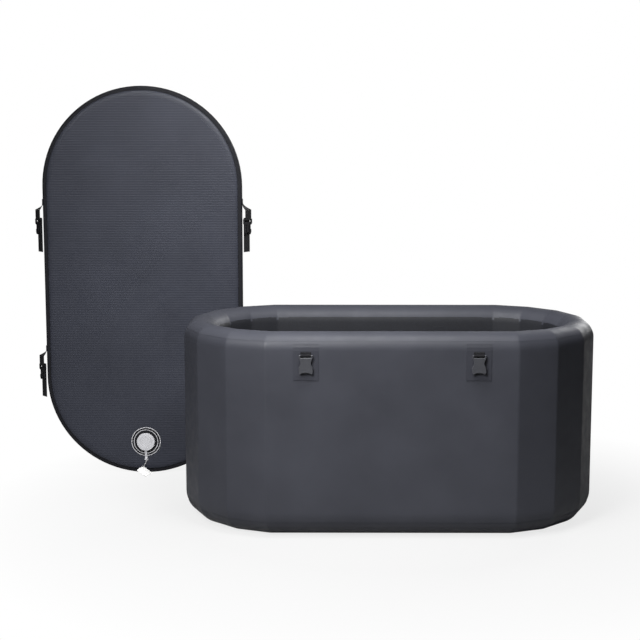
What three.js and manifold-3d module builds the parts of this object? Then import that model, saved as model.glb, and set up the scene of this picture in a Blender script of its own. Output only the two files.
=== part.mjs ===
// Inflatable cold plunge tub, with its inflatable lid taken off and stood on end behind it.
// Millimetres, +Z up. The origin is the centre of the tub's underside, +X runs along the tub
// and -Y points to the front. The lid's four straps clip into four socket buckles on the wall.

import * as THREE from 'three';
import { mergeVertices, toCreasedNormals } from 'three/addons/utils/BufferGeometryUtils.js';
import Module from 'manifold-3d';

const wasm = await Module();
wasm.setup();

const { degToRad } = THREE.MathUtils;

// Tub
const tubLength = 1500;
const tubWidth = 770;
const tubHeight = 735;
const wallThickness = 115;
const wallFoot = 20; // flat strip under the wall, inside its rounded outer corner
const floorThickness = 50;
const floorEdgeRadius = 8;
const endFacets = 8; // flat panels in each half turn of the outline
const facetSoftness = degToRad(3.2); // half the turn taken up by each softened corner

// Welded tapes, and the gap between pieces that touch
const tapeThickness = 1.7;
const seatGap = 0.3;
const rimTapeStart = degToRad(34); // outer edge of the rim tape, from the horizontal
const rimTapeSkirt = 16; // straight part of the rim tape inside the tub
const baseTapeLow = degToRad(-84);
const baseTapeHigh = degToRad(-25);
const floorTapeLeg = 25;
const seamStripWidth = 40;
const seamLeft = -280;
const seamRight = 205;
const seamCornerRadius = 6;

// Webbing and side-release buckles
const webWidth = 36;
const webThickness = 1.6;
const barRadius = 2.8;
const forkSide = 5; // cheek beside the webbing, at each end of a bar
const forkSlack = 1; // sideways play of the webbing between the cheeks
const cheekReach = 2.2; // cheeks past the bar's axis
const buckleSpacing = 600;
const barHeight = 659; // bar of each socket buckle above the ground
const patchWidth = 88;
const patchDrop = 88; // patch below the bar
const patchWrap = degToRad(24); // how far the patch climbs round the rim
const loopTail = 13; // webbing past the bar, where it is sewn to the patch
const socketLength = 64;
const socketBack = 4.2; // behind the bar's axis
const socketFront = 7.6; // in front of the bar's axis
const socketWaist = 17.5;
const mouthWidth = 40;
const mouthHeight = 7.4;
const mouthDepth = 42;
const lipRadius = 40;
const lipDip = 6;
const plugThickness = 7;
const plugLength = 61; // from the bar's axis to the prongs' tips
const plugShoulder = 16; // from the bar's axis to the end of the plug's plate
const prongPlay = 0.9; // beside each prong, inside the socket's mouth
const prongWidth = 9;
const prongShank = 5;
const barbLength = 20; // barbed head of each prong
const barbSlope = 3;
const noseTaper = 5;
const tongueWidth = 9; // fixed guide between the prongs
const tongueShort = 8; // tongue ends this far before the prongs' tips
const tongueTaper = 2;
const buckleBevel = 0.7;

// Lid
const lidLength = 1585;
const lidWidth = 806;
const lidThickness = 64;
const lidEdgeRadius = 16;
const lidTapeLap = 30; // tape on each face, from the lid's edge
const lidX = -973; // where the lid stands, measured from the tub's centre
const lidY = 571;
const strapRise = 40; // top of each strap's root above its buckle's place
const rootLength = 44;
const rootSewn = 0.35; // share of the root sewn flat on the lid's edge
const strapTurn = degToRad(50); // how far the hanging strap turns from facing the front
const strapStandoff = 24;
const strapLength = 40; // from the root to the plug buckle's bar
const strapTail = 132;
const tailClearance = 1.3;
const tailLeaves = degToRad(220); // where the webbing's tail parts from the bar

// Inflation valves, one in the wall and one in the lid
const valveX = 80;
const valveHeight = 600;
const lidValveHeight = 134;
const valvePatchRadius = 61;
const flangeRadius = 34;
const flangeThickness = 3;
const barrelRadius = 23;
const barrelDepth = 32;
const boreRadius = 17;
const seatRadius = 12;
const seatDepth = 20;
const seatThickness = 3;
const skirtRadius = 19;
const spiderDepth = 14;
const spiderThickness = 3;
const spokeWidth = 3.5;
const hubRadius = 5.5;
const stemRadius = 2.2;
const stemPlay = 0.4;
const knobRadius = 6;
const knobThickness = 3;
const knobTop = 1;
const discRadius = 14.5;
const discThickness = 3;
const wireRadius = 0.6;
const coilRadius = 4;
const coilTurns = 4;
const faceSheet = 3; // skin of the air chamber that the valve is clamped to
const recessRadius = 32;
const recessDepth = 44;
const valveNutRadius = 30;
const valveNutHeight = 6;
const capRadius = 37;
const capHeight = 7.5;
const capDome = 0.6;
const capRounding = 2;
const capHollow = 1.5;
const plugWall = 3.2;
const plugDepth = 5;
const plugPlay = 0.5;
const leashWidth = 10;
const leashThickness = 1.6;
const leashLap = 4; // leash rooted inside the cap's edge
const leashRise = 1; // leash's underside above the cap's foot
const leashReach = 64; // from the valve's axis to the leash's fold
const anchorLength = 15;
const anchorWidth = 15;
const anchorThickness = 3;
const anchorCorner = 3;
const anchorKnobRadius = 6;
const anchorKnobHeight = 4.5;

// Blank tag on a short cord, at the foot of the lid
const tagWidth = 36;
const tagLength = 58;
const tagThickness = 0.9;
const tagFold = degToRad(9);
const tagSpin = degToRad(45);
const tagSlope = degToRad(25);
const tagCorner = new THREE.Vector3(-12, 29, 5);
const cordRadius = 1;

// Drain through the rear wall
const drainFromEnd = 15; // from the end of the tub's straight sides
const drainHeight = 125;
const pipeRadius = 17;
const drainBore = 12.5;
const spigotLength = 24;
const drainFlangeRadius = 30;
const drainFlangeThickness = 4;
const gasketRadius = 28;
const gasketThickness = 2;
const drainNutRadius = 28;
const drainNutThickness = 8;
const pipeOverrun = 3;
const drainCapWall = 3.2;
const drainCapEnd = 3;
const drainCapLength = 17;
const drainCapLobes = 10;
const drainCapLobeDepth = 1;

// Smoothness of the round stretches
const baseSteps = 4;
const rimSteps = 6;
const edgeSteps = 2;
const roundSteps = 18;
const loopSteps = 10;
const rootSteps = 7;
const coilSteps = 8;
const wireSides = 5;
const cordSides = 8;
const cordSteps = 8;
const creaseAngle = degToRad(40);

// Sizes that follow from the ones above
const skin = tapeThickness + seatGap; // outer face of a tape above what it is welded to
const endRadius = tubWidth / 2;
const innerRadius = endRadius - wallThickness;
const tubStraight = (tubLength - tubWidth) / 2;
const baseRadius = wallThickness - wallFoot;
const rimRadius = wallThickness / 2;
const rimCentre = tubHeight - skin - rimRadius;
const rimFoot = rimCentre - rimTapeSkirt;
const floorTop = skin + floorThickness;
const floorTapeTop = floorTop + seatGap + floorTapeLeg;
const facetTurn = Math.PI / endFacets;
const evenCorners = facetTurn / 4;
const forkInside = webWidth / 2 + forkSlack;
const forkOutside = forkInside + forkSide;
const loopInside = barRadius + seatGap;
const loopOutside = loopInside + webThickness;
const lidRadius = lidWidth / 2;
const lidStraight = (lidLength - lidWidth) / 2;
const lidFace = lidThickness / 2 - skin;
const flangeFoot = skin + seatGap;
const flangeTop = flangeFoot + flangeThickness;
const capFoot = flangeTop + seatGap;
const seatFoot = seatDepth + seatThickness;
const leashHeight = seatGap + anchorThickness - leashThickness / 2;
const drainX = tubStraight - drainFromEnd;

// Small helpers for outlines and solids

const point = (x, y) => new THREE.Vector2(x, y);

const closed = (points) => [...points, points[0].clone()];

const mirrored = (half) => [...half, ...half.map((p) => point(-p.x, p.y)).reverse()];

function arc(centreX, centreY, radius, from, to, steps) {
  const points = [];
  for (let i = 0; i <= steps; i++) {
    const angle = from + ((to - from) * i) / steps;
    points.push(point(centreX + radius * Math.cos(angle), centreY + radius * Math.sin(angle)));
  }
  return points;
}

// An arc with a corner at each given angle, and its own number of steps up to the next one.
function markedArc(centreX, centreY, radius, angles, steps) {
  const stretches = steps.map((count, i) =>
    arc(centreX, centreY, radius, angles[i], angles[i + 1], count).slice(i > 0 ? 1 : 0),
  );
  return stretches.flat();
}

// Welds the corners that faces share, drops collapsed faces and turns every face outward.
function welded(geometry) {
  const positions = new THREE.BufferGeometry();
  positions.setAttribute('position', geometry.getAttribute('position'));
  positions.setIndex(geometry.index);
  const merged = mergeVertices(positions, 1e-3);
  const position = merged.getAttribute('position');
  const corner = [new THREE.Vector3(), new THREE.Vector3(), new THREE.Vector3()];
  const faces = [];
  let volume = 0;
  for (let i = 0; i < merged.index.count; i += 3) {
    const face = [0, 1, 2].map((k) => merged.index.getX(i + k));
    if (new Set(face).size < 3) continue;
    face.forEach((vertex, k) => corner[k].fromBufferAttribute(position, vertex));
    volume += corner[0].dot(corner[1].cross(corner[2]));
    faces.push(face);
  }
  if (volume < 0) faces.forEach((face) => face.reverse());
  merged.setIndex(faces.flat());
  return merged;
}

function solidOf(geometry) {
  const shape = welded(geometry);
  const mesh = new wasm.Mesh({
    numProp: 3,
    vertProperties: new Float32Array(shape.getAttribute('position').array),
    triVerts: new Uint32Array(shape.index.array),
  });
  return new wasm.Manifold(mesh);
}

function geometryOf(solid) {
  const mesh = solid.getMesh();
  const geometry = new THREE.BufferGeometry();
  geometry.setAttribute('position', new THREE.BufferAttribute(mesh.vertProperties, 3));
  geometry.setIndex(new THREE.BufferAttribute(mesh.triVerts, 1));
  return geometry;
}

const join = (first, ...others) =>
  geometryOf(others.reduce((solid, other) => solid.add(solidOf(other)), solidOf(first)));

const cut = (first, ...tools) =>
  geometryOf(tools.reduce((solid, tool) => solid.subtract(solidOf(tool)), solidOf(first)));

// A ring or plate turned about Z, its corners gathered into flat panels, then pulled apart along X.
function pulledLathe(profile, straight, softness) {
  const geometry = new THREE.LatheGeometry(profile, 4 * endFacets, evenCorners);
  geometry.rotateX(Math.PI / 2);
  const position = geometry.getAttribute('position');
  for (let i = 0; i < position.count; i++) {
    const radius = Math.hypot(position.getX(i), position.getY(i));
    if (radius < seatGap) continue;
    const turn = Math.atan2(position.getX(i), -position.getY(i));
    const corner = (Math.floor(turn / facetTurn) + 0.5) * facetTurn;
    const angle = corner + Math.sign(turn - corner) * softness;
    const reach = radius / Math.cos(facetTurn / 2 - softness);
    const pull = Math.sign(Math.sin(angle)) * straight;
    position.setXY(i, reach * Math.sin(angle) + pull, -reach * Math.cos(angle));
  }
  return geometry;
}

// A piece turned about its own Z axis, from a profile of radius and height.
const turned = (profile) => new THREE.LatheGeometry(profile, roundSteps).rotateX(Math.PI / 2);

const washer = (inside, outside, low, high) =>
  turned(closed([point(inside, low), point(outside, low), point(outside, high), point(inside, high)]));

const disc = (radius, low, high) =>
  turned([point(0, low), point(radius, low), point(radius, high), point(0, high)]);

// A flat outline given thickness along Z, from low to high.
function plate(outline, low, high, bevel = 0) {
  const shape = outline.isShape ? outline : new THREE.Shape(outline);
  const geometry = new THREE.ExtrudeGeometry(shape, {
    depth: high - low - 2 * bevel,
    curveSegments: loopSteps,
    bevelEnabled: bevel > 0,
    bevelThickness: bevel,
    bevelSize: bevel,
    bevelOffset: -bevel,
    bevelSegments: 1,
  });
  return geometry.translate(0, 0, low + bevel);
}

// A side view, drawn as outward distance and height, given width along X.
function acrossWidth(sideView, width, hole) {
  const shape = new THREE.Shape(sideView);
  if (hole) shape.holes.push(new THREE.Path(hole));
  const geometry = new THREE.ExtrudeGeometry(shape, { depth: width, bevelEnabled: false });
  return geometry.rotateY(-Math.PI / 2).translate(width / 2, 0, 0);
}

function roundedRectangle(width, height, radius) {
  const right = width / 2 - radius;
  const top = height / 2 - radius;
  const quarter = Math.PI / 2;
  return [
    ...arc(right, -top, radius, -quarter, 0, edgeSteps),
    ...arc(right, top, radius, 0, quarter, edgeSteps),
    ...arc(-right, top, radius, quarter, 2 * quarter, edgeSteps),
    ...arc(-right, -top, radius, 2 * quarter, 3 * quarter, edgeSteps),
  ];
}

// Finishes

const finish = (color, roughness, metalness = 0) => () =>
  new THREE.MeshStandardMaterial({ color, roughness, metalness });

const wallVinyl = finish(0x45464b, 0.55);
const tapeVinyl = finish(0x3a3b42, 0.45);
const innerVinyl = finish(0x2c2d32, 0.75);
const blackWebbing = finish(0x111114, 0.9);
const blackPlastic = finish(0x1d1e22, 0.5);
const greyPlastic = finish(0xb9b9be, 0.4);
const springSteel = finish(0xb0b2b6, 0.3, 1);
const blackRubber = finish(0x161617, 0.8);
const whiteTag = finish(0xf2f2f0, 0.6);

// Placing: each station has X along its wall, Y up and Z pointing out of the surface

function wallStation(x, height, rear) {
  const station = new THREE.Matrix4().makeRotationX(Math.PI / 2);
  station.setPosition(rear ? -x : x, -endRadius, height);
  if (rear) station.premultiply(new THREE.Matrix4().makeRotationZ(Math.PI));
  return station;
}

function stationGroup(parent, matrix) {
  const group = new THREE.Group();
  group.applyMatrix4(matrix);
  parent.add(group);
  return group;
}

function addPiece(parent, name, geometry, material) {
  const mesh = new THREE.Mesh(toCreasedNormals(welded(geometry), creaseAngle), material());
  mesh.name = name;
  parent.add(mesh);
  return mesh;
}

const tubValveStation = wallStation(valveX, valveHeight, true);
const drainStation = wallStation(drainX, drainHeight, true);
const lidStation = new THREE.Matrix4().makeRotationX(Math.PI / 2);
lidStation.setPosition(lidX, lidY, lidLength / 2);
const lidValvePlace = new THREE.Matrix4().makeTranslation(0, lidValveHeight - lidLength / 2, lidFace);

// Tub wall, floor and welded tapes

function wallPanel() {
  const baseAngles = [-Math.PI / 2, baseTapeLow, baseTapeHigh, 0];
  const baseCounts = [1, baseSteps, edgeSteps];
  const rimAngles = [0, patchWrap, rimTapeStart, Math.PI];
  const rimCounts = [edgeSteps, 1, rimSteps];
  const profile = closed([
    point(innerRadius, skin),
    ...markedArc(endRadius - baseRadius, skin + baseRadius, baseRadius, baseAngles, baseCounts),
    ...markedArc(endRadius - rimRadius, rimCentre, rimRadius, rimAngles, rimCounts),
  ]);
  const ring = pulledLathe(profile, tubStraight, facetSoftness);
  const valveRecess = valvePocket().applyMatrix4(tubValveStation);
  const overrun = wallThickness + skin;
  const drainHole = disc(pipeRadius + seatGap, -overrun, skin).applyMatrix4(drainStation);
  return cut(ring, valveRecess, drainHole);
}

function rimBand() {
  const centre = endRadius - rimRadius;
  const profile = closed([
    ...arc(centre, rimCentre, rimRadius + skin, rimTapeStart, Math.PI, rimSteps),
    point(innerRadius - skin, rimFoot),
    point(innerRadius - seatGap, rimFoot),
    ...arc(centre, rimCentre, rimRadius + seatGap, Math.PI, rimTapeStart, rimSteps),
  ]);
  return pulledLathe(profile, tubStraight, facetSoftness);
}

function baseBand() {
  const centre = endRadius - baseRadius;
  const height = skin + baseRadius;
  const profile = closed([
    ...arc(centre, height, baseRadius + skin, baseTapeLow, baseTapeHigh, baseSteps),
    ...arc(centre, height, baseRadius + seatGap, baseTapeHigh, baseTapeLow, baseSteps),
  ]);
  return pulledLathe(profile, tubStraight, facetSoftness);
}

function groundSheet() {
  const tapeEdge = endRadius - baseRadius + (baseRadius + seatGap) * Math.cos(baseTapeLow);
  const edge = tapeEdge - seatGap;
  const profile = [point(0, 0), point(edge, 0), point(edge, tapeThickness), point(0, tapeThickness)];
  return pulledLathe(profile, tubStraight, facetSoftness);
}

function floorPanel() {
  const edge = innerRadius - seatGap;
  const radius = floorEdgeRadius;
  const rounding = arc(edge - radius, floorTop - radius, radius, 0, Math.PI / 2, edgeSteps);
  const profile = [point(0, skin), point(edge, skin), ...rounding, point(0, floorTop)];
  return pulledLathe(profile, tubStraight, facetSoftness);
}

function floorTape() {
  const wallSide = innerRadius - seatGap;
  const floorSide = floorTop + seatGap;
  const profile = closed([
    point(wallSide - floorTapeLeg, floorSide),
    point(wallSide, floorSide),
    point(wallSide, floorTapeTop),
    point(wallSide - tapeThickness, floorTapeTop),
    point(wallSide - tapeThickness, floorSide + 2 * tapeThickness),
    point(wallSide - 2 * tapeThickness, floorSide + tapeThickness),
    point(wallSide - floorTapeLeg, floorSide + tapeThickness),
  ]);
  return pulledLathe(profile, tubStraight, facetSoftness);
}

const seamStrip = (length) =>
  plate(roundedRectangle(seamStripWidth, length, seamCornerRadius), seatGap, skin);

function addInnerSeam(parent, name, x) {
  const low = floorTapeTop + seatGap;
  const high = rimFoot - seatGap;
  const station = new THREE.Matrix4().makeRotationX(Math.PI / 2);
  station.setPosition(x, innerRadius, (low + high) / 2);
  addPiece(stationGroup(parent, station), name, seamStrip(high - low), innerVinyl);
}

function addOuterSeam(parent) {
  const low = skin + baseRadius;
  const station = wallStation(seamRight, (low + rimCentre) / 2, true);
  addPiece(stationGroup(parent, station), 'outer_seam_strip', seamStrip(rimCentre - low), tapeVinyl);
}

// Socket buckles: a patch welded to the wall, a loop of webbing and the moulded socket on it

function bucklePatch() {
  const rimHeight = rimCentre - barHeight;
  const sideView = [
    point(skin, -patchDrop),
    ...arc(-rimRadius, rimHeight, rimRadius + skin, 0, patchWrap, edgeSteps),
    ...arc(-rimRadius, rimHeight, rimRadius + seatGap, patchWrap, 0, edgeSteps),
    point(seatGap, -patchDrop),
  ];
  return acrossWidth(sideView, patchWidth);
}

const circle = (radius) => arc(0, 0, radius, 0, 2 * Math.PI, loopSteps).slice(1);

function buckleLoop() {
  const meeting = Math.acos(-loopInside / loopOutside);
  const sideView = [
    ...arc(0, 0, loopOutside, -meeting, Math.PI, loopSteps),
    point(-loopOutside, -loopTail),
    point(-loopInside, -loopTail),
  ];
  return acrossWidth(sideView, webWidth, circle(loopInside));
}

function forkBar() {
  const length = 2 * forkInside + forkSide;
  return new THREE.CylinderGeometry(barRadius, barRadius, length, loopSteps).rotateZ(Math.PI / 2);
}

function socketBuckle() {
  const forkRoot = loopOutside + cheekReach;
  const shoulder = socketLength - mouthDepth / 2;
  const waist = (forkRoot + shoulder) / 2;
  const flank = new THREE.SplineCurve([
    point(forkOutside, forkRoot),
    point(socketWaist, waist),
    point(forkOutside, shoulder),
  ]);
  const cornerCut = 2 * barRadius;
  const half = [
    point(forkInside, forkRoot),
    point(forkInside, -cheekReach),
    point(forkOutside, -cheekReach),
    ...flank.getPoints(loopSteps / 2),
    point(forkOutside, socketLength - cornerCut),
    point(forkOutside - cornerCut / 2, socketLength),
  ];
  const body = plate(mirrored(half), -socketBack, socketFront, buckleBevel);
  const middle = (socketFront - socketBack) / 2;
  const mouth = new THREE.BoxGeometry(mouthWidth, mouthDepth, mouthHeight);
  mouth.translate(0, socketLength - mouthDepth / 2 + seatGap, middle);
  const lip = disc(lipRadius, middle, socketFront + seatGap);
  lip.translate(0, socketLength + lipRadius - lipDip, 0);
  return cut(join(body, forkBar()), mouth, lip);
}

function addSocket(parent, place, x, rear) {
  const wall = stationGroup(parent, wallStation(x, barHeight, rear));
  addPiece(wall, `buckle_patch_${place}`, bucklePatch(), tapeVinyl);
  const bar = new THREE.Group();
  bar.position.z = skin + seatGap + loopOutside;
  bar.rotation.z = Math.PI; // the socket hangs from its bar with its mouth down
  wall.add(bar);
  addPiece(bar, `buckle_loop_${place}`, buckleLoop(), blackWebbing);
  addPiece(bar, `socket_buckle_${place}`, socketBuckle(), blackPlastic);
}

// Plug buckles on the lid's straps, with the bar at the origin and the prongs pointing down

function plugBuckle() {
  const forkRoot = loopOutside + 2 * cheekReach;
  const prongOut = mouthWidth / 2 - prongPlay;
  const prongIn = prongOut - prongWidth;
  const tongue = tongueWidth / 2;
  const prongRoot = plugShoulder + prongPlay + forkSide;
  const barb = plugLength - barbLength;
  const half = [
    point(forkInside, -forkRoot),
    point(forkInside, cheekReach),
    point(forkOutside, cheekReach),
    point(forkOutside, -plugShoulder),
    point(prongOut, -plugShoulder - forkSide),
    point(prongIn + prongShank, -prongRoot),
    point(prongIn + prongShank, -barb + barbSlope),
    point(prongOut, -barb),
    point(prongOut, -barb - barbLength / 2),
    point(prongOut - noseTaper, -plugLength),
    point(prongIn, -plugLength + tongueTaper),
    point(prongIn, -prongRoot),
    point(tongue, -prongRoot),
    point(tongue, -plugLength + tongueShort + tongueTaper),
    point(tongue - tongueTaper, -plugLength + tongueShort),
  ];
  const body = plate(mirrored(half), -plugThickness / 2, plugThickness / 2, buckleBevel);
  return join(body, forkBar());
}

// Hanging webbing: down from the fold in front of the bar, once round it, and a free tail behind it
function strapWebbing() {
  const tailFront = plugThickness / 2 + tailClearance;
  const frontMeeting = Math.acos(loopInside / loopOutside);
  const jog = 2 * loopOutside;
  const sideView = [
    point(loopOutside, strapLength - seatGap),
    ...arc(0, 0, loopOutside, 2 * Math.PI, tailLeaves, loopSteps / 2),
    point(-tailFront, -jog),
    point(-tailFront, -strapTail),
    point(-tailFront - webThickness, -strapTail),
    point(-tailFront - webThickness, -jog + webThickness),
    ...arc(0, 0, loopOutside, Math.PI, frontMeeting, loopSteps / 2),
    point(loopInside, strapLength - seatGap),
  ];
  return acrossWidth(sideView, webWidth, circle(loopInside));
}

// Webbing root: sewn flat on the lid's edge at its top, then peeling off and turning to the front
function strapRoot(side, topHeight) {
  const geometry = new THREE.BoxGeometry(webWidth, rootLength, webThickness, 1, rootSteps, 1);
  const position = geometry.getAttribute('position');
  const seat = seatGap + webThickness / 2;
  for (let i = 0; i < position.count; i++) {
    const along = 0.5 - position.getY(i) / rootLength;
    const peeled = Math.max(0, along - rootSewn) / (1 - rootSewn);
    const ease = peeled * peeled;
    const turn = side * THREE.MathUtils.lerp(Math.PI / 2, strapTurn, ease);
    const out = side * (lidRadius + THREE.MathUtils.lerp(seat, strapStandoff, ease));
    const x = position.getX(i);
    const z = position.getZ(i);
    position.setXYZ(
      i,
      out + x * Math.cos(turn) + z * Math.sin(turn),
      topHeight - along * rootLength,
      z * Math.cos(turn) - x * Math.sin(turn),
    );
  }
  return geometry;
}

function addStrap(lid, place, side, height) {
  const top = height + strapRise;
  addPiece(lid, `strap_root_${place}`, strapRoot(side, top), blackWebbing);
  const fold = new THREE.Group();
  fold.position.set(side * (lidRadius + strapStandoff), top - rootLength, 0);
  fold.rotation.y = side * strapTurn;
  lid.add(fold);
  const bar = new THREE.Group();
  bar.position.set(0, -strapLength, -(loopInside + loopOutside) / 2);
  fold.add(bar);
  addPiece(bar, `strap_webbing_${place}`, strapWebbing(), blackWebbing);
  addPiece(bar, `plug_buckle_${place}`, plugBuckle(), blackPlastic);
}

// Inflation valve: turned about its axis, with the surface that it sits on at height zero

function valvePocket() {
  return turned([
    point(0, skin),
    point(barrelRadius + seatGap, skin),
    point(barrelRadius + seatGap, -faceSheet),
    point(recessRadius, -faceSheet),
    point(recessRadius, -recessDepth),
    point(0, -recessDepth),
  ]);
}

function valveBody() {
  const shell = turned(
    closed([
      point(boreRadius, flangeTop),
      point(boreRadius, -seatDepth),
      point(seatRadius, -seatDepth),
      point(seatRadius, -seatFoot),
      point(skirtRadius, -seatFoot),
      point(skirtRadius, -barrelDepth),
      point(barrelRadius, -barrelDepth),
      point(barrelRadius, flangeFoot),
      point(flangeRadius, flangeFoot),
      point(flangeRadius, flangeTop - flangeThickness / 3),
      point(flangeRadius - flangeThickness / 3, flangeTop),
    ]),
  );
  const spiderMiddle = -spiderDepth - spiderThickness / 2;
  const spokeLength = boreRadius + barrelRadius;
  const across = new THREE.BoxGeometry(spokeLength, spokeWidth, spiderThickness);
  across.translate(0, 0, spiderMiddle);
  const upright = across.clone().rotateZ(Math.PI / 2);
  const hub = disc(hubRadius, -spiderDepth - spiderThickness, -spiderDepth);
  const stemHole = disc(stemRadius + stemPlay, -seatDepth, 0);
  return cut(join(shell, across, upright, hub), stemHole);
}

const valvePoppet = () =>
  turned([
    point(0, knobTop),
    point(knobRadius - knobThickness / 3, knobTop),
    point(knobRadius, knobTop - knobThickness / 3),
    point(knobRadius, knobTop - knobThickness),
    point(stemRadius, knobTop - knobThickness),
    point(stemRadius, -seatFoot - seatGap),
    point(discRadius, -seatFoot - seatGap),
    point(discRadius, -seatFoot - seatGap - discThickness),
    point(0, -seatFoot - seatGap - discThickness),
  ]);

class Helix extends THREE.Curve {
  constructor(radius, low, high, turns) {
    super();
    Object.assign(this, { radius, low, high, turns });
  }

  getPoint(share, target = new THREE.Vector3()) {
    const angle = 2 * Math.PI * this.turns * share;
    const height = THREE.MathUtils.lerp(this.low, this.high, share);
    return target.set(this.radius * Math.cos(angle), this.radius * Math.sin(angle), height);
  }
}

const alongCurve = (curve, radius, sides, steps) =>
  new THREE.ExtrudeGeometry(new THREE.Shape(arc(0, 0, radius, 0, 2 * Math.PI, sides).slice(1)), {
    steps,
    extrudePath: curve,
    bevelEnabled: false,
  });

function valveSpring() {
  const low = -spiderDepth + seatGap + wireRadius;
  const high = knobTop - knobThickness - seatGap - wireRadius;
  const coil = new Helix(coilRadius, low, high, coilTurns);
  return alongCurve(coil, wireRadius, wireSides, coilTurns * coilSteps);
}

function valveCap() {
  const top = capFoot + capHeight;
  const plugRadius = boreRadius - plugPlay;
  const lid = turned([
    point(0, top),
    point(capRadius - 3 * capRounding, top - capDome),
    point(capRadius - capRounding / 2, top - capRounding),
    point(capRadius, top - 2 * capRounding),
    point(capRadius, capFoot),
    point(plugRadius, capFoot),
    point(plugRadius, capFoot - plugDepth),
    point(plugRadius - plugWall, capFoot - plugDepth),
    point(plugRadius - plugWall, capFoot + capHollow),
    point(0, capFoot + capHollow),
  ]);
  const under = [
    point(capFoot + leashRise, -capRadius + leashLap),
    point(capFoot + leashRise, -capRadius - leashRise),
    point(skin + 2 * seatGap, -valvePatchRadius - seatGap),
    point(leashHeight - leashThickness / 2, -leashReach + seatGap),
  ];
  const over = under.map((p) => point(p.x + leashThickness, p.y)).reverse();
  return join(lid, acrossWidth([...under, ...over], leashWidth));
}

function leashAnchor() {
  const top = -leashReach - seatGap;
  const foot = top - anchorLength + anchorCorner;
  const outline = [
    point(leashWidth / 2, top),
    ...arc(anchorWidth / 2 - anchorCorner, foot, anchorCorner, 0, -Math.PI / 2, edgeSteps),
  ];
  const face = seatGap + anchorThickness;
  const tab = plate(mirrored(outline), seatGap, face);
  const dome = arc(0, 0, 1, 0, Math.PI / 2, edgeSteps + 1);
  const knob = turned([
    point(0, seatGap + anchorThickness / 2),
    ...dome.map((p) => point(p.x * anchorKnobRadius, face + p.y * anchorKnobHeight)),
  ]);
  knob.translate(0, top - anchorLength / 2, 0);
  return join(tab, knob);
}

function addValve(parent, owner) {
  const clamp = -faceSheet - seatGap;
  const hole = barrelRadius + seatGap;
  const nut = washer(hole, valveNutRadius, clamp - valveNutHeight, clamp);
  addPiece(parent, `${owner}_valve_patch`, washer(hole, valvePatchRadius, seatGap, skin), tapeVinyl);
  addPiece(parent, `${owner}_valve_body`, valveBody(), blackPlastic);
  addPiece(parent, `${owner}_valve_nut`, nut, blackPlastic);
  addPiece(parent, `${owner}_valve_poppet`, valvePoppet(), greyPlastic);
  addPiece(parent, `${owner}_valve_spring`, valveSpring(), springSteel);
  addPiece(parent, `${owner}_valve_cap`, valveCap(), greyPlastic);
  addPiece(parent, `${owner}_valve_anchor`, leashAnchor(), greyPlastic);
}

// Drain: a flanged pipe through the wall, clamped from inside and closed by a pull-off cap

function drainPipe() {
  const flangeLow = gasketThickness + 2 * seatGap;
  const inside = -wallThickness - seatGap - drainNutThickness - pipeOverrun;
  return turned(
    closed([
      point(drainBore, inside),
      point(pipeRadius, inside),
      point(pipeRadius, flangeLow),
      point(drainFlangeRadius, flangeLow),
      point(drainFlangeRadius, flangeLow + drainFlangeThickness),
      point(pipeRadius, flangeLow + drainFlangeThickness),
      point(pipeRadius, spigotLength),
      point(drainBore, spigotLength),
    ]),
  );
}

function drainCap() {
  const inside = pipeRadius + seatGap;
  const outside = inside + drainCapWall;
  const lobes = [];
  const lobeSteps = 4 * drainCapLobes;
  for (let i = 0; i < lobeSteps; i++) {
    const angle = (2 * Math.PI * i) / lobeSteps;
    const radius = outside + drainCapLobeDepth * Math.cos(drainCapLobes * angle);
    lobes.push(point(radius * Math.cos(angle), radius * Math.sin(angle)));
  }
  const end = spigotLength + seatGap;
  const body = plate(lobes, end + drainCapEnd - drainCapLength, end + drainCapEnd);
  return cut(body, disc(inside, 0, end));
}

function addDrain(parent) {
  const drain = stationGroup(parent, drainStation);
  const hole = pipeRadius + seatGap;
  const clamp = -wallThickness - seatGap;
  const gasket = washer(hole, gasketRadius, seatGap, seatGap + gasketThickness);
  const nut = washer(hole, drainNutRadius, clamp - drainNutThickness, clamp);
  addPiece(drain, 'drain_pipe', drainPipe(), blackPlastic);
  addPiece(drain, 'drain_gasket', gasket, blackRubber);
  addPiece(drain, 'drain_nut', nut, blackPlastic);
  addPiece(drain, 'drain_cap', drainCap(), blackPlastic);
}

// Lid: a flat air panel with a tape round its edge

function lidPanel() {
  const edge = lidRadius - skin;
  const corner = lidEdgeRadius - skin;
  const profile = [
    point(0, -lidFace),
    ...arc(edge - corner, -lidFace + corner, corner, -Math.PI / 2, 0, edgeSteps),
    ...arc(edge - corner, lidFace - corner, corner, 0, Math.PI / 2, edgeSteps),
    point(0, lidFace),
  ];
  const panel = pulledLathe(profile, lidStraight, evenCorners).rotateZ(Math.PI / 2);
  return cut(panel, valvePocket().applyMatrix4(lidValvePlace));
}

function lidEdgeBand() {
  const high = lidThickness / 2 - lidEdgeRadius;
  const centre = lidRadius - lidEdgeRadius;
  const lap = lidRadius - lidTapeLap;
  const within = lidEdgeRadius - tapeThickness;
  const quarter = Math.PI / 2;
  const profile = closed([
    point(lap, -lidThickness / 2),
    ...arc(centre, -high, lidEdgeRadius, -quarter, 0, edgeSteps),
    ...arc(centre, high, lidEdgeRadius, 0, quarter, edgeSteps),
    point(lap, lidThickness / 2),
    point(lap, lidThickness / 2 - tapeThickness),
    ...arc(centre, high, within, quarter, 0, edgeSteps),
    ...arc(centre, -high, within, 0, -quarter, edgeSteps),
    point(lap, tapeThickness - lidThickness / 2),
  ]);
  return pulledLathe(profile, lidStraight, evenCorners).rotateZ(Math.PI / 2);
}

// Tag: a blank folded leaf that leans on the ground, on a cord from the valve's leash anchor

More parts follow.
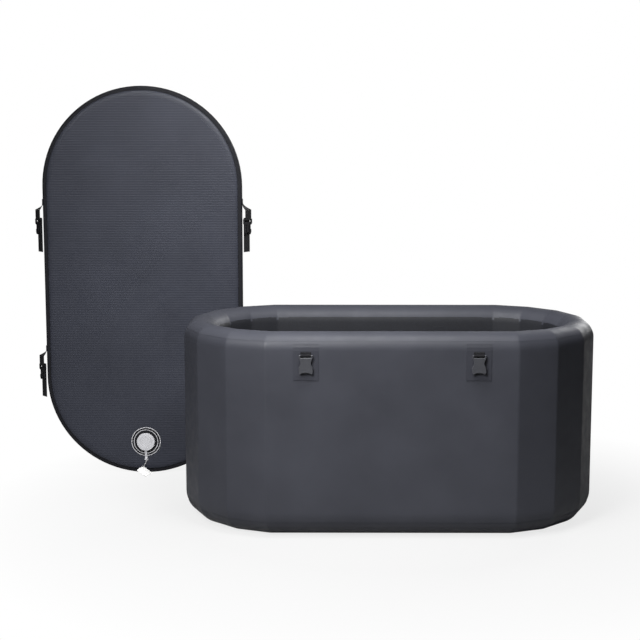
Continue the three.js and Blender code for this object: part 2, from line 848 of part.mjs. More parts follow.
function tagLeaf() {
  const half = (tagWidth / 2) * Math.cos(tagFold);
  const crest = point(half, (tagWidth / 2) * Math.sin(tagFold));
  const section = [point(0, 0), crest, point(2 * half, 0)];
  const rise = tagThickness / Math.cos(tagFold);
  const outline = [...section, ...section.map((p) => point(p.x, p.y + rise)).reverse()];
  return plate(outline, 0, tagLength).rotateX(Math.PI / 2).translate(0, tagLength, 0);
}

function addTag(valve) {
  const corner = tagCorner.clone().setY(tagCorner.y - lidValveHeight);
  const down = new THREE.Vector3(0, -Math.sin(tagSlope), Math.cos(tagSlope));
  const lengthwise = new THREE.Vector3(Math.cos(tagSpin), 0, 0).addScaledVector(down, Math.sin(tagSpin));
  const widthwise = new THREE.Vector3(-Math.sin(tagSpin), 0, 0).addScaledVector(down, Math.cos(tagSpin));
  const facing = new THREE.Vector3().crossVectors(widthwise, lengthwise);
  const lying = new THREE.Matrix4().makeBasis(widthwise, lengthwise, facing).setPosition(corner);
  addPiece(stationGroup(valve, lying), 'tag', tagLeaf(), whiteTag);

  const anchorFoot = -leashReach - seatGap - anchorLength;
  const start = new THREE.Vector3(0, anchorFoot - seatGap - cordRadius / 2, seatGap + anchorThickness / 2);
  const end = corner.clone().addScaledVector(facing, tagThickness + seatGap + cordRadius);
  const middle = start.clone().lerp(end, 0.5);
  middle.z += 2 * cordRadius;
  const route = new THREE.CatmullRomCurve3([start, middle, end]);
  addPiece(valve, 'tag_cord', alongCurve(route, cordRadius, cordSides, cordSteps), whiteTag);
}

// Assembly

function buildTub() {
  const tub = new THREE.Group();
  addPiece(tub, 'wall_panel', wallPanel(), wallVinyl);
  addPiece(tub, 'rim_band', rimBand(), wallVinyl);
  addPiece(tub, 'base_band', baseBand(), tapeVinyl);
  addPiece(tub, 'ground_sheet', groundSheet(), tapeVinyl);
  addPiece(tub, 'floor_panel', floorPanel(), innerVinyl);
  addPiece(tub, 'floor_tape', floorTape(), innerVinyl);
  addInnerSeam(tub, 'inner_seam_left', seamLeft);
  addInnerSeam(tub, 'inner_seam_right', seamRight);
  addOuterSeam(tub);
  for (const [face, rear] of [['front', false], ['rear', true]]) {
    addSocket(tub, `${face}_left`, -buckleSpacing / 2, rear);
    addSocket(tub, `${face}_right`, buckleSpacing / 2, rear);
  }
  addValve(stationGroup(tub, tubValveStation), 'tub');
  addDrain(tub);
  return tub;
}

function buildLid() {
  const lid = stationGroup(new THREE.Group(), lidStation);
  addPiece(lid, 'lid_panel', lidPanel(), wallVinyl);
  addPiece(lid, 'lid_edge_band', lidEdgeBand(), tapeVinyl);
  for (const [level, height] of [['upper', buckleSpacing / 2], ['lower', -buckleSpacing / 2]]) {
    addStrap(lid, `${level}_left`, -1, height);
    addStrap(lid, `${level}_right`, 1, height);
  }
  const valve = stationGroup(lid, lidValvePlace);
  addValve(valve, 'lid');
  addTag(valve);
  return lid;
}

const coldPlunge = new THREE.Group();
coldPlunge.add(buildTub(), buildLid());

export default coldPlunge;
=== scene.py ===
"""Dresses the inflatable cold plunge tub and its lid: skins, webbing, stitching, valves and a studio."""

import math

import bmesh
import bpy
from bpy.props import FloatProperty, FloatVectorProperty, IntProperty, PointerProperty
from mathutils import Matrix, Vector, noise


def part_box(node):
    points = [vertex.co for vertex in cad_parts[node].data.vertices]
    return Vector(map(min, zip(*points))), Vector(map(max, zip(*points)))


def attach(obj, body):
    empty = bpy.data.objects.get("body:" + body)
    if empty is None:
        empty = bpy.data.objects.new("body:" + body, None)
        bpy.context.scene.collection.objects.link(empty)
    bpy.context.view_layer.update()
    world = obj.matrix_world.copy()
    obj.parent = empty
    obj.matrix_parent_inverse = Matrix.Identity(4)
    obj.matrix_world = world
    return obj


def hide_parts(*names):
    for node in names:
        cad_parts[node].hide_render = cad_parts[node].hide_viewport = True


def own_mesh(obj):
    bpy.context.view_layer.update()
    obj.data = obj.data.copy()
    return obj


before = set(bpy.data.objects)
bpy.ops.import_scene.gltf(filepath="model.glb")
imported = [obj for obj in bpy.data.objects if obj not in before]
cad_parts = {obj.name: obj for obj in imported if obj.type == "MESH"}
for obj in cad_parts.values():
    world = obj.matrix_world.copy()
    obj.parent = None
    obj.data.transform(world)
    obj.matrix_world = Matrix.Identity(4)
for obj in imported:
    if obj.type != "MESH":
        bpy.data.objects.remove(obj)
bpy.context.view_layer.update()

bl_info = {
    "name": "Cold plunge tub",
    "version": (1, 0, 0),
    "blender": (4, 5, 0),
    "location": "View3D > Sidebar > Plunge",
    "description": "Builds the skins, webbing, valves and finishes of an inflatable plunge tub",
    "category": "Object",
}

# Sizes of the object, in metres

WALL_LOW, WALL_HIGH = (Vector(corner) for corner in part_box("wall_panel"))
TUB_RADIUS = WALL_HIGH.y
TUB_STRAIGHT = WALL_HIGH.x - TUB_RADIUS
WALL_THICKNESS = 0.115
WALL_FOOT = 0.020
SEAT_GAP = 0.0003
TAPE = 0.0017
SKIN = SEAT_GAP + TAPE
INNER_RADIUS = TUB_RADIUS - WALL_THICKNESS
BASE_RADIUS = WALL_THICKNESS - WALL_FOOT
RIM_RADIUS = WALL_THICKNESS / 2
RIM_CENTRE = WALL_HIGH.z - RIM_RADIUS
RIM_TAPE = (math.radians(34), math.radians(160))
BASE_TAPE = (math.radians(-84), math.radians(-25))
FLOOR_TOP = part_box("floor_panel")[1][2]
FLOOR_EDGE_RADIUS = 0.008
FLOOR_TAPE_LEG = 0.025
PUCKER = 0.0004
HOLE_DEPTH = 0.05
HOLE_CLEARANCE = 0.01

FACETS = 8
FACET_TURN = math.pi / FACETS
CORNER_STEPS = 6
SHORT_STEPS = 5
LONG_STEPS = 44

LID_LOW, LID_HIGH = (Vector(corner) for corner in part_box("lid_edge_band"))
LID_RADIUS = (LID_HIGH.x - LID_LOW.x) / 2
LID_THICKNESS = LID_HIGH.y - LID_LOW.y
LID_STRAIGHT = (LID_HIGH.z - LID_LOW.z) / 2 - LID_RADIUS
LID_CENTRE = (LID_LOW + LID_HIGH) / 2
LID_TAPE_LAP = 0.017
LID_TAPE_HALF = 0.0215
LID_SHOULDER = 0.040
LID_GROOVE = 0.023
LID_SQUARENESS = 5
LID_SUNK = 0.0006
LID_FACE_SKIN = 0.0012
LID_TIP_WIDTH = 0.002
LID_FACE = LID_THICKNESS / 2 - SKIN

WEB_WIDTH = 0.036
WEB_THICKNESS = 0.0016
STITCH_HALF_WIDTH = WEB_WIDTH * 0.42
BOX_HALF_WIDTH = WEB_WIDTH * 0.40
BOX_DROP = 0.0025
LOOP_MIDDLE = 0.0039
BAR_HEIGHT = 0.659
BUCKLE_SPACING = 0.600
BAR_STANDOFF = SKIN + SEAT_GAP + LOOP_MIDDLE + WEB_THICKNESS / 2
LOOP_TAIL = 0.013
LOOP_LAP = math.radians(125)
LOOP_ROWS = (0.70, 0.87)
STRAP_RISE = 0.040
ROOT_LENGTH = 0.044
ROOT_SEWN = 0.35
STRAP_TURN = math.radians(50)
STRAP_STANDOFF = 0.024
STRAP_LENGTH = 0.040
STRAP_TAIL = 0.132
TAIL_MIDDLE = 0.0056
TAIL_CREST = 0.006
HEM_ROWS = (0.004, 0.012)

VALVE_X = 0.080
VALVE_HEIGHT = 0.600
LID_VALVE_HEIGHT = 0.134
VALVE_HOLE = 0.0233
VALVE_PATCH_RADIUS = 0.061
VALVE_RINGS = ((0.0490, 0.0026), (0.0588, 0.0030))
CAP_RADIUS = 0.037
CAP_FOOT = 0.0056
CAP_TOP = CAP_FOOT + 0.0075
CAP_DISH = 0.0004
CAP_GROOVE = (0.0222, 0.0246)
PLUG_RADIUS = 0.0165
PLUG_WALL = 0.0032
PLUG_DEPTH = 0.005
LEASH_WIDTH = 0.010
LEASH_THICKNESS = 0.0016
LEASH_REACH = 0.064
LEASH_RISE = 0.0018
LEASH_FOOT = 0.0025
ANCHOR_FOOT = -0.0796
SPRING_FOOT = -0.0137
SPRING_TOP = -0.0023
COIL_RADIUS = 0.004
COIL_TURNS = 4
WIRE_RADIUS = 0.0006
DRAIN_X = 0.350
DRAIN_HEIGHT = 0.125
DRAIN_HOLE = 0.0173

TAG_WIDTH = 0.036
TAG_LENGTH = 0.058
TAG_THICKNESS = 0.0009
TAG_FOLD = math.radians(9)
TAG_CURL = 0.0015
TAG_SPIN = math.radians(45)
TAG_SLOPE = math.radians(25)
TAG_CORNER = Vector((-0.012, 0.029 - LID_VALVE_HEIGHT, 0.005))
CORD_RADIUS = 0.001
CORD_HEIGHT = 0.0018
CORD_SWAY = 0.002
CORD_BOW = 0.0060
TIED_END = 0.010
TIED_STEPS = 6
TIED_BOW = 0.0016

SIDES = {"left": -1, "right": 1}
LEVELS = {"upper": 1, "lower": -1}

# Studio, in metres

KEY_SPREAD = math.radians(75)
KEY_LIGHT = {"place": (-1.5, -2.8, 2.7), "target": (-0.1, -0.4, 0.35), "size": 1.6, "spread": KEY_SPREAD}
TOP_LIGHT = {"place": (-0.1, -0.8, 2.3), "target": (-0.3, 0.1, 0.7), "size": 0.8, "spread": math.pi}
REAR_LIGHT = {"place": (3.0, 3.9, 2.4), "target": (-0.1, 0.3, 0.4), "size": 2.0, "spread": math.pi}
SENSOR_WIDTH = 36
GROUND_REACH = 40
GROUND_WHITE = 0.78
GROUND_FADE = (0.75, 1.6)


# What a user would change

class TubFinish(bpy.types.PropertyGroup):
    """Colours and textures of the tub and its lid."""

    vinyl: FloatVectorProperty(
        name="Vinyl", description="Outer skin of the wall",
        subtype="COLOR", size=3, min=0, max=1, default=(0.029, 0.0303, 0.0375))
    lid_vinyl: FloatVectorProperty(
        name="Lid vinyl", description="Skin of the lid's faces, a little bluer than the wall's",
        subtype="COLOR", size=3, min=0, max=1, default=(0.0285, 0.0308, 0.0415))
    tape: FloatVectorProperty(
        name="Tape", description="Welded tapes and patches",
        subtype="COLOR", size=3, min=0, max=1, default=(0.0235, 0.0245, 0.031))
    edging: FloatVectorProperty(
        name="Edging", description="Dark tape round the lid",
        subtype="COLOR", size=3, min=0, max=1, default=(0.009, 0.0092, 0.0115))
    lining: FloatVectorProperty(
        name="Lining", description="Grained skin inside the tub",
        subtype="COLOR", size=3, min=0, max=1, default=(0.009, 0.0095, 0.0118))
    webbing: FloatVectorProperty(
        name="Webbing", description="Woven straps and loops",
        subtype="COLOR", size=3, min=0, max=1, default=(0.0045, 0.0045, 0.0055))
    moulding: FloatVectorProperty(
        name="Moulding", description="Black plugs and fittings",
        subtype="COLOR", size=3, min=0, max=1, default=(0.008, 0.008, 0.0095))
    socket: FloatVectorProperty(
        name="Socket", description="Dark grey socket buckles",
        subtype="COLOR", size=3, min=0, max=1, default=(0.030, 0.031, 0.036))
    cap: FloatVectorProperty(
        name="Cap", description="Light grey valve caps",
        subtype="COLOR", size=3, min=0, max=1, default=(0.46, 0.46, 0.48))
    rib_pitch: FloatProperty(
        name="Rib pitch", description="Spacing of the ribs across the lid",
        subtype="DISTANCE", unit="LENGTH", min=0.004, max=0.03, default=0.0100)
    rib_depth: FloatProperty(
        name="Rib depth", description="Height of the ribs across the lid",
        subtype="DISTANCE", unit="LENGTH", min=0, max=0.001, default=0.00008)
    fillet: FloatProperty(
        name="Facet rounding", description="Rounding of the wall's corners, as a share of the end radius",
        subtype="FACTOR", min=0.02, max=1, default=0.08)
    stitch_length: FloatProperty(
        name="Stitch", description="Length of one sewn stitch",
        subtype="DISTANCE", unit="LENGTH", min=0.001, max=0.01, default=0.0030)
    round_steps: IntProperty(
        name="Round steps", description="Sides of the turned valve pieces",
        min=24, max=128, default=72)


class StageFinish(bpy.types.PropertyGroup):
    """Camera, lights and floor."""

    camera_place: FloatVectorProperty(
        name="Camera", description="Where the camera stands",
        subtype="TRANSLATION", unit="LENGTH", size=3, default=(-0.225, -5.50, 1.567))
    camera_pitch: FloatProperty(
        name="Pitch", description="How far the camera looks down",
        subtype="ANGLE", unit="ROTATION", default=0.152)
    camera_yaw: FloatProperty(
        name="Yaw", description="How far the camera turns to the left",
        subtype="ANGLE", unit="ROTATION", default=0.005)
    lens: FloatProperty(
        name="Lens", description="Focal length in millimetres on a 36 mm sensor",
        min=20, max=200, default=84.375)
    key_power: FloatProperty(
        name="Key light", description="Power of the soft light at the front left",
        unit="POWER", min=0, max=5000, default=48)
    top_power: FloatProperty(
        name="Top light", description="Power of the soft light over the tub",
        unit="POWER", min=0, max=5000, default=58)
    rear_power: FloatProperty(
        name="Rear light", description="Power of the soft light behind, at the right",
        unit="POWER", min=0, max=5000, default=150)
    ambient: FloatProperty(
        name="Ambient", description="Strength of the even light all round",
        min=0, max=1, default=0.05)
    floor_colour: FloatVectorProperty(
        name="Floor", description="Pale studio floor",
        subtype="COLOR", size=3, min=0, max=1, default=(0.30, 0.30, 0.30))


def finish():
    """The settings of the tub and its lid."""
    return bpy.context.scene.plunge_finish


def studio():
    """The settings of the stage."""
    return bpy.context.scene.plunge_stage


# Materials

class Nodes:
    """A material's node tree, built one named node at a time."""

    def __init__(self, name, colour, roughness, specular=0.5):
        self.material = bpy.data.materials.new(name)
        self.material.use_nodes = True
        self.tree = self.material.node_tree
        self.shader = self.tree.nodes["Principled BSDF"]
        self.shader.inputs["Base Color"].default_value = (*colour, 1)
        self.shader.inputs["Roughness"].default_value = roughness
        self.shader.inputs["Specular IOR Level"].default_value = specular
        self.height = None

    def add(self, kind, **settings):
        node = self.tree.nodes.new(kind)
        for key, value in settings.items():
            if key in node.inputs:
                node.inputs[key].default_value = value
            else:
                setattr(node, key, value)
        return node

    def link(self, source, target):
        self.tree.links.new(source, target)

    def place(self, source="Object", stretch=(1, 1, 1)):
        mapping = self.add("ShaderNodeMapping", Scale=stretch)
        self.link(self.add("ShaderNodeTexCoord").outputs[source], mapping.inputs["Vector"])
        return mapping.outputs["Vector"]

    def noise(self, scale, detail=3, source="Object", stretch=(1, 1, 1)):
        node = self.add("ShaderNodeTexNoise", Scale=scale, Detail=detail)
        self.link(self.place(source, stretch), node.inputs["Vector"])
        return node.outputs["Fac"]

    def bands(self, pitch, direction, source="Object", distortion=0.0, detail_scale=1.0):
        """Even waves with the given pitch in metres."""
        node = self.add(
            "ShaderNodeTexWave", wave_type="BANDS", bands_direction=direction, wave_profile="SIN",
            Scale=math.tau / 20 / pitch, Distortion=distortion)
        node.inputs["Detail Scale"].default_value = detail_scale
        self.link(self.place(source), node.inputs["Vector"])
        return node.outputs["Fac"]

    def math(self, operation, first, second=0.0):
        node = self.add("ShaderNodeMath", operation=operation)
        for socket, value in zip(node.inputs, (first, second)):
            if isinstance(value, (int, float)):
                socket.default_value = value
            else:
                self.link(value, socket)
        return node.outputs["Value"]

    def span(self, value, low, high, source=(0.3, 0.7)):
        node = self.add("ShaderNodeMapRange")
        node.inputs["From Min"].default_value, node.inputs["From Max"].default_value = source
        node.inputs["To Min"].default_value, node.inputs["To Max"].default_value = low, high
        self.link(value, node.inputs["Value"])
        return node.outputs["Result"]

    def tint(self, share, first, second):
        """Base colour between two colours, by a share."""
        node = self.add("ShaderNodeMix", data_type="RGBA")
        colours = [socket for socket in node.inputs if socket.type == "RGBA"]
        colours[0].default_value = (*first, 1)
        colours[1].default_value = (*second, 1)
        self.link(share, node.inputs["Factor"])
        result = [socket for socket in node.outputs if socket.type == "RGBA"][0]
        self.link(result, self.shader.inputs["Base Color"])
        return result

    def tint_over(self, share, colour):
        """Lays one more colour over the base colour, by a share."""
        under = self.shader.inputs["Base Color"].links[0].from_socket
        node = self.add("ShaderNodeMix", data_type="RGBA")
        colours = [socket for socket in node.inputs if socket.type == "RGBA"]
        self.link(under, colours[0])
        colours[1].default_value = (*colour, 1)
        self.link(share, node.inputs["Factor"])
        result = [socket for socket in node.outputs if socket.type == "RGBA"][0]
        self.link(result, self.shader.inputs["Base Color"])

    def rough(self, value):
        self.link(value, self.shader.inputs["Roughness"])

    def bump(self, height, distance, strength=1.0):
        """Adds a layer of bump over any that is there already."""
        node = self.add("ShaderNodeBump", Strength=strength, Distance=distance)
        self.link(height, node.inputs["Height"])
        if self.height:
            self.link(self.height, node.inputs["Normal"])
        self.height = node.outputs["Normal"]
        self.link(self.height, self.shader.inputs["Normal"])


def scaled(colour, factor):
    """A lighter or darker colour."""
    return tuple(min(1.0, part * factor) for part in colour)


def vinyl_nodes(name, colour, roughness, specular, grain=0.0009):
    """Coated vinyl: cloudy colour, a fine woven backing that shows through, and a soft uneven sheen."""
    nodes = Nodes(name, colour, roughness, specular)
    cloud = nodes.noise(5, 4)
    nodes.tint(nodes.span(cloud, 0, 1), scaled(colour, 0.90), scaled(colour, 1.10))
    nodes.rough(nodes.span(nodes.noise(28, 4), roughness - 0.06, roughness + 0.06))
    weave = nodes.math("ADD", nodes.bands(grain, "X"), nodes.bands(grain, "Z"))
    nodes.bump(weave, 0.00006, 0.35)
    nodes.bump(nodes.noise(1600, 2), 0.00008, 0.5)
    nodes.bump(nodes.noise(7, 2), 0.004, 0.10)
    return nodes


def wall_vinyl():
    return vinyl_nodes("wall_vinyl", tuple(finish().vinyl), 0.46, 0.17).material


def tape_vinyl():
    return vinyl_nodes("tape_vinyl", tuple(finish().tape), 0.44, 0.22, 0.0007).material


def edge_vinyl():
    return vinyl_nodes("edge_vinyl", tuple(finish().edging), 0.66, 0.12, 0.0007).material


def rim_vinyl_painted_light():
    # The rim tape's colour is the wall's vinyl made 1.15 times lighter: painted light on the rim, which
    # faces the top light.
    return vinyl_nodes("rim_vinyl_painted_light", scaled(tuple(finish().vinyl), 1.15), 0.56, 0.18).material


def lid_vinyl():
    """The lid's face: cross ribs where the drop threads pull the skin in, with painted shade along each
    rib.
    """
    skin = tuple(finish().lid_vinyl)
    nodes = vinyl_nodes("lid_vinyl", skin, 0.46, 0.2)
    ribs = nodes.bands(finish().rib_pitch, "Z")
    nodes.bump(ribs, 0.0005, 0.6)
    # Each rib is also darkened in the colour, by up to 42 percent towards half the skin's colour: painted
    # shade along the ribs.
    nodes.tint_over(nodes.span(ribs, 0.0, 0.42, (0.5, 1.0)), scaled(skin, 0.5))
    return nodes.material


def lining_vinyl():
    """Inside skin with a coarse grain."""
    nodes = vinyl_nodes("lining_vinyl", tuple(finish().lining), 0.62, 0.2, 0.0016)
    grain = nodes.noise(420, 3)
    nodes.bump(grain, 0.0006, 0.6)
    nodes.tint_over(nodes.span(grain, 0.0, 0.7, (0.45, 0.7)), scaled(tuple(finish().lining), 1.9))
    return nodes.material


def woven_webbing():
    """Webbing: ribs along it and picks across it, with painted shade in the hollows between them and
    painted highlights on their crests.
    """
    colour = tuple(finish().webbing)
    nodes = Nodes("woven_webbing", colour, 0.86, 0.12)
    nodes.shader.inputs["Sheen Weight"].default_value = 0.05
    nodes.shader.inputs["Sheen Roughness"].default_value = 0.5
    ribs = nodes.bands(0.0022, "X", "UV")
    picks = nodes.bands(0.0013, "Y", "UV")
    weave = nodes.math("MULTIPLY", nodes.span(ribs, 0.35, 1, (0, 1)), nodes.span(picks, 0.4, 1, (0, 1)))
    # The colour runs from half the webbing's colour in the hollows to 2.2 times it on the crests: painted
    # shade and painted highlight that follow the bump.
    nodes.tint(weave, scaled(colour, 0.5), scaled(colour, 2.2))
    nodes.bump(weave, 0.0004, 0.8)
    nodes.bump(nodes.noise(900, 2), 0.0001, 0.4)
    return nodes.material


def thread():
    """Dark sewing thread."""
    nodes = Nodes("stitch_thread", (0.02, 0.02, 0.024), 0.7, 0.3)
    fibre = nodes.noise(1800, 2)
    nodes.tint(fibre, (0.012, 0.012, 0.015), (0.045, 0.045, 0.05))
    nodes.bump(fibre, 0.0001, 0.5)
    return nodes.material


def moulded_plastic(name, colour, roughness, specular):
    """Injection-moulded plastic: spark-eroded grain and a slightly uneven gloss."""
    nodes = Nodes(name, colour, roughness, specular)
    cloud = nodes.noise(60, 3)
    nodes.tint(cloud, scaled(colour, 0.88), scaled(colour, 1.12))
    nodes.rough(nodes.span(nodes.noise(140, 3), roughness - 0.07, roughness + 0.07))
    nodes.bump(nodes.noise(1500, 2), 0.00012, 0.45)
    return nodes.material


def black_plastic():
    return moulded_plastic("black_plastic", tuple(finish().moulding), 0.40, 0.4)


def socket_plastic():
    return moulded_plastic("socket_plastic", tuple(finish().socket), 0.42, 0.45)


def grey_plastic():
    return moulded_plastic("grey_plastic", tuple(finish().cap), 0.34, 0.5)


def spring_wire():
    """Drawn steel wire."""
    nodes = Nodes("spring_wire", (0.55, 0.56, 0.58), 0.28)
    nodes.shader.inputs["Metallic"].default_value = 1
    drawn = nodes.noise(500, 3, stretch=(1, 1, 8))
    nodes.tint(drawn, (0.42, 0.43, 0.45), (0.62, 0.63, 0.65))
    nodes.rough(nodes.span(drawn, 0.2, 0.36))
    return nodes.material


def washer_rubber():
    """Dull black rubber with a faint bloom."""
    nodes = Nodes("washer_rubber", (0.009, 0.009, 0.010), 0.75, 0.3)
    bloom = nodes.noise(90, 4)
    nodes.tint(bloom, (0.007, 0.007, 0.008), (0.016, 0.016, 0.017))
    nodes.rough(nodes.span(bloom, 0.65, 0.85))
    nodes.bump(nodes.noise(1200, 2), 0.0001, 0.5)
    return nodes.material


def tag_card():
    """Plain white card."""
    nodes = Nodes("tag_card", (0.80, 0.80, 0.79), 0.6, 0.3)
    pulp = nodes.noise(350, 4)
    nodes.tint(pulp, (0.76, 0.76, 0.75), (0.83, 0.83, 0.82))
    nodes.bump(pulp, 0.0001, 0.3)
    return nodes.material


def tag_thread():
    """Twisted pale cord, with painted shade in the grooves of its twist."""
    nodes = Nodes("tag_thread", (0.62, 0.62, 0.62), 0.8, 0.2)
    twist = nodes.bands(0.0016, "DIAGONAL")
    # The twist's bands darken the cord where the bump is low: painted shade in the grooves between the
    # strands.
    nodes.tint(twist, (0.42, 0.42, 0.42), (0.72, 0.72, 0.72))
    nodes.bump(twist, 0.0003, 0.7)
    return nodes.material


def ringed_patch(name, centre, rings):
    """Round valve patch: dark vinyl with thin light rings about its middle."""
    nodes = vinyl_nodes(name, tuple(finish().edging), 0.44, 0.2, 0.0007)
    axes = nodes.add("ShaderNodeSeparateXYZ")
    nodes.link(nodes.place(), axes.inputs["Vector"])
    across = nodes.math("SUBTRACT", axes.outputs["X"], centre.x)
    up = nodes.math("SUBTRACT", axes.outputs["Z"], centre.z)
    squares = nodes.math("ADD", nodes.math("MULTIPLY", across, across), nodes.math("MULTIPLY", up, up))
    radius = nodes.math("SQRT", squares)
    # Two thin light rings are laid over the patch's colour at the given radii and widths.
    light_rings = None
    for ring, width in rings:
        near = nodes.math("ABSOLUTE", nodes.math("SUBTRACT", radius, ring))
        line = nodes.math("LESS_THAN", near, width / 2)
        light_rings = line if light_rings is None else nodes.math("MAXIMUM", light_rings, line)
    nodes.tint_over(nodes.math("MULTIPLY", light_rings, 0.85), (0.50, 0.50, 0.52))
    return nodes.material


# Meshes

def piece(name, mesh, body, materials, replaced=(), crease=math.radians(40)):
    """Puts a mesh in the scene as a piece that rides on a body."""
    mesh.name = name
    for material in materials if isinstance(materials, (list, tuple)) else [materials]:
        mesh.materials.append(material)
    mesh.shade_smooth()
    mesh.set_sharp_from_angle(angle=crease)
    thing = bpy.data.objects.new(name, mesh)
    bpy.context.scene.collection.objects.link(thing)
    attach(thing, body)
    if replaced:
        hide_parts(*replaced)
    return thing


def mesh_of(build):
    """A mesh from a function that fills a bmesh, welded and with its faces turned outward."""
    solid = bmesh.new()
    build(solid)
    bmesh.ops.remove_doubles(solid, verts=solid.verts, dist=1e-6)
    bmesh.ops.dissolve_degenerate(solid, edges=solid.edges, dist=1e-7)
    bmesh.ops.recalc_face_normals(solid, faces=solid.faces)
    mesh = bpy.data.meshes.new("piece")
    solid.to_mesh(mesh)
    solid.free()
    return mesh


def grid_faces(solid, rows, wrap_rows, wrap_columns):
    """Joins rows of vertices into quads."""
    count = len(rows)
    for i in range(count if wrap_rows else count - 1):
        first, second = rows[i], rows[(i + 1) % count]
        length = len(first)
        for j in range(length if wrap_columns else length - 1):
            k = (j + 1) % length
            solid.faces.new((first[j], first[k], second[k], second[j]))


def close_sheets(solid, first, second):
    """Joins two sheets of vertices into one closed piece."""
    rows, columns = len(first) - 1, len(first[0]) - 1
    for sheet in (first, second):
        grid_faces(solid, sheet, False, False)
    for i in range(rows):
        for j in (0, columns):
            solid.faces.new((first[i][j], first[i + 1][j], second[i + 1][j], second[i][j]))
    for i in (0, rows):
        for j in range(columns):
            solid.faces.new((first[i][j], first[i][j + 1], second[i][j + 1], second[i][j]))


def arc(centre, radius, start, end, steps):
    """Points on an arc, as pairs of distance and height."""
    points = []
    for i in range(steps + 1):
        angle = start + (end - start) * i / steps
        points.append((centre[0] + radius * math.cos(angle), centre[1] + radius * math.sin(angle)))
    return points


def line(start, end, steps):
    """Points from start towards end, without the end itself."""
    return [tuple(a + (b - a) * i / steps for a, b in zip(start, end)) for i in range(steps)]


def stations():
    """Places round a stretched outline: each is two corner points and a share between them."""
    places = []
    for index in range(2 * FACETS):
        corner = (index + 0.5) * FACET_TURN
        for step in range(CORNER_STEPS):
            first = corner + FACET_TURN * (step / CORNER_STEPS - 0.5)
            second = corner + FACET_TURN * ((step + 1) / CORNER_STEPS - 0.5)
            places.append(((corner, first), (corner, second), 0.0))
        edge = corner + FACET_TURN / 2
        following = (corner + FACET_TURN, edge)
        steps = LONG_STEPS if abs(math.sin(edge)) < 1e-6 else SHORT_STEPS
        for step in range(steps):
            places.append(((corner, edge), following, step / steps))
    return places


STATIONS = stations()


def plan_point(radius, straight, fillet_share, place):
    """A point of the outline at a distance from its spine."""
    points = []
    for corner, angle in place[:2]:
        fillet = fillet_share * radius
        reach = (radius - fillet) / math.cos(FACET_TURN / 2)
        x = reach * math.sin(corner) + fillet * math.sin(angle) + math.copysign(straight, math.sin(corner))
        y = -reach * math.cos(corner) - fillet * math.cos(angle)
        points.append(Vector((x, y)))
    return points[0].lerp(points[1], place[2])


def swept(profile, straight, fillet_share, closed, shift=None):
    """A profile of radius and height carried round the outline. shift moves a point outward."""
    def build(solid):
        rows = []
        for number, place in enumerate(STATIONS):
            row = []
            for index, (radius, height) in enumerate(profile):
                push = shift(number, index) if shift else 0.0
                flat = plan_point(max(radius + push, 1e-7), straight, fillet_share, place)
                row.append(solid.verts.new((flat.x, flat.y, height)))
            rows.append(row)
        grid_faces(solid, rows, True, closed)
    return mesh_of(build)


def spun(profile, matrix, closed=False):
    """A smooth turned piece about the Z axis of a matrix, from a profile of radius and height."""
    steps = finish().round_steps

    def build(solid):
        rows = []
        for i in range(steps):
            angle = math.tau * i / steps
            rows.append([
                solid.verts.new(matrix @ Vector((r * math.cos(angle), r * math.sin(angle), z)))
                for r, z in profile
            ])
        grid_faces(solid, rows, True, closed)
    return mesh_of(build)


def ribbon(path, across, facing, width=WEB_WIDTH, thickness=WEB_THICKNESS):
    """A woven band along a path, with rounded edges and its own texture coordinates in metres."""
    half, deep = width / 2, thickness / 2
    inset = half - deep
    section = [(-half, 0), (-inset, -deep), (inset, -deep), (half, 0), (inset, deep), (-inset, deep)]
    mesh = bpy.data.meshes.new("ribbon")
    solid = bmesh.new()
    layer = solid.loops.layers.uv.new("weave")
    along, travelled = {}, 0.0
    rows = []
    for i, centre in enumerate(path):
        if i:
            travelled += (centre - path[i - 1]).length
        side = across[i] if isinstance(across, list) else across
        face = facing[i] if isinstance(facing, list) else facing
        row = [solid.verts.new(centre + side * x + face * z) for x, z in section]
        for vertex, (x, _) in zip(row, section):
            along[vertex] = (x, travelled)
        rows.append(row)
    grid_faces(solid, rows, False, True)
    solid.faces.new(rows[0][::-1])
    solid.faces.new(rows[-1])
    bmesh.ops.recalc_face_normals(solid, faces=solid.faces)
    for patch in solid.faces:
        for loop in patch.loops:
            loop[layer].uv = along[loop.vert]
    solid.to_mesh(mesh)
    solid.free()
    return mesh


def stitching(runs, normal, radius=0.00035):
    """Rows of short raised stitches along straight runs."""
    length = finish().stitch_length
    rings = ((0.0, 0.35), (0.2, 1.0), (0.8, 1.0), (1.0, 0.35))
    sides = 6

    def build(solid):
        for start, end in runs:
            count = max(1, round((end - start).length / (1.35 * length)))
            step = (end - start) / count
            ahead = step.normalized()
            aside = normal.cross(ahead)
            for i in range(count):
                foot = start + step * (i + 0.13)
                rows = []
                for share, size in rings:
                    centre = foot + ahead * length * share
                    rows.append([
                        solid.verts.new(centre + aside * across + normal * up)
                        for across, up in arc((0, 0), radius * size, 0, math.tau, sides)[:-1]
                    ])
                grid_faces(solid, rows, False, True)
                solid.faces.new(rows[0][::-1])
                solid.faces.new(rows[-1])
    solid = bmesh.new()
    build(solid)
    bmesh.ops.recalc_face_normals(solid, faces=solid.faces)
    mesh = bpy.data.meshes.new("stitches")
    solid.to_mesh(mesh)
    solid.free()
    return mesh


def stitch_rows(matrix, heights):
    """Runs of stitches straight across the webbing, on a plane of a matrix."""
    half = STITCH_HALF_WIDTH
    return [(matrix @ Vector((-half, y, 0)), matrix @ Vector((half, y, 0))) for y in heights]


def box_stitch(matrix, width, low, high):
    """Runs of a sewn box with a cross in it, on a plane of a matrix."""
    outline = ((-width, low), (width, low), (width, high), (-width, high))
    corners = [matrix @ Vector((x, y, 0)) for x, y in outline]
    runs = [(corners[i], corners[(i + 1) % 4]) for i in range(4)]
    return runs + [(corners[0], corners[2]), (corners[1], corners[3])]


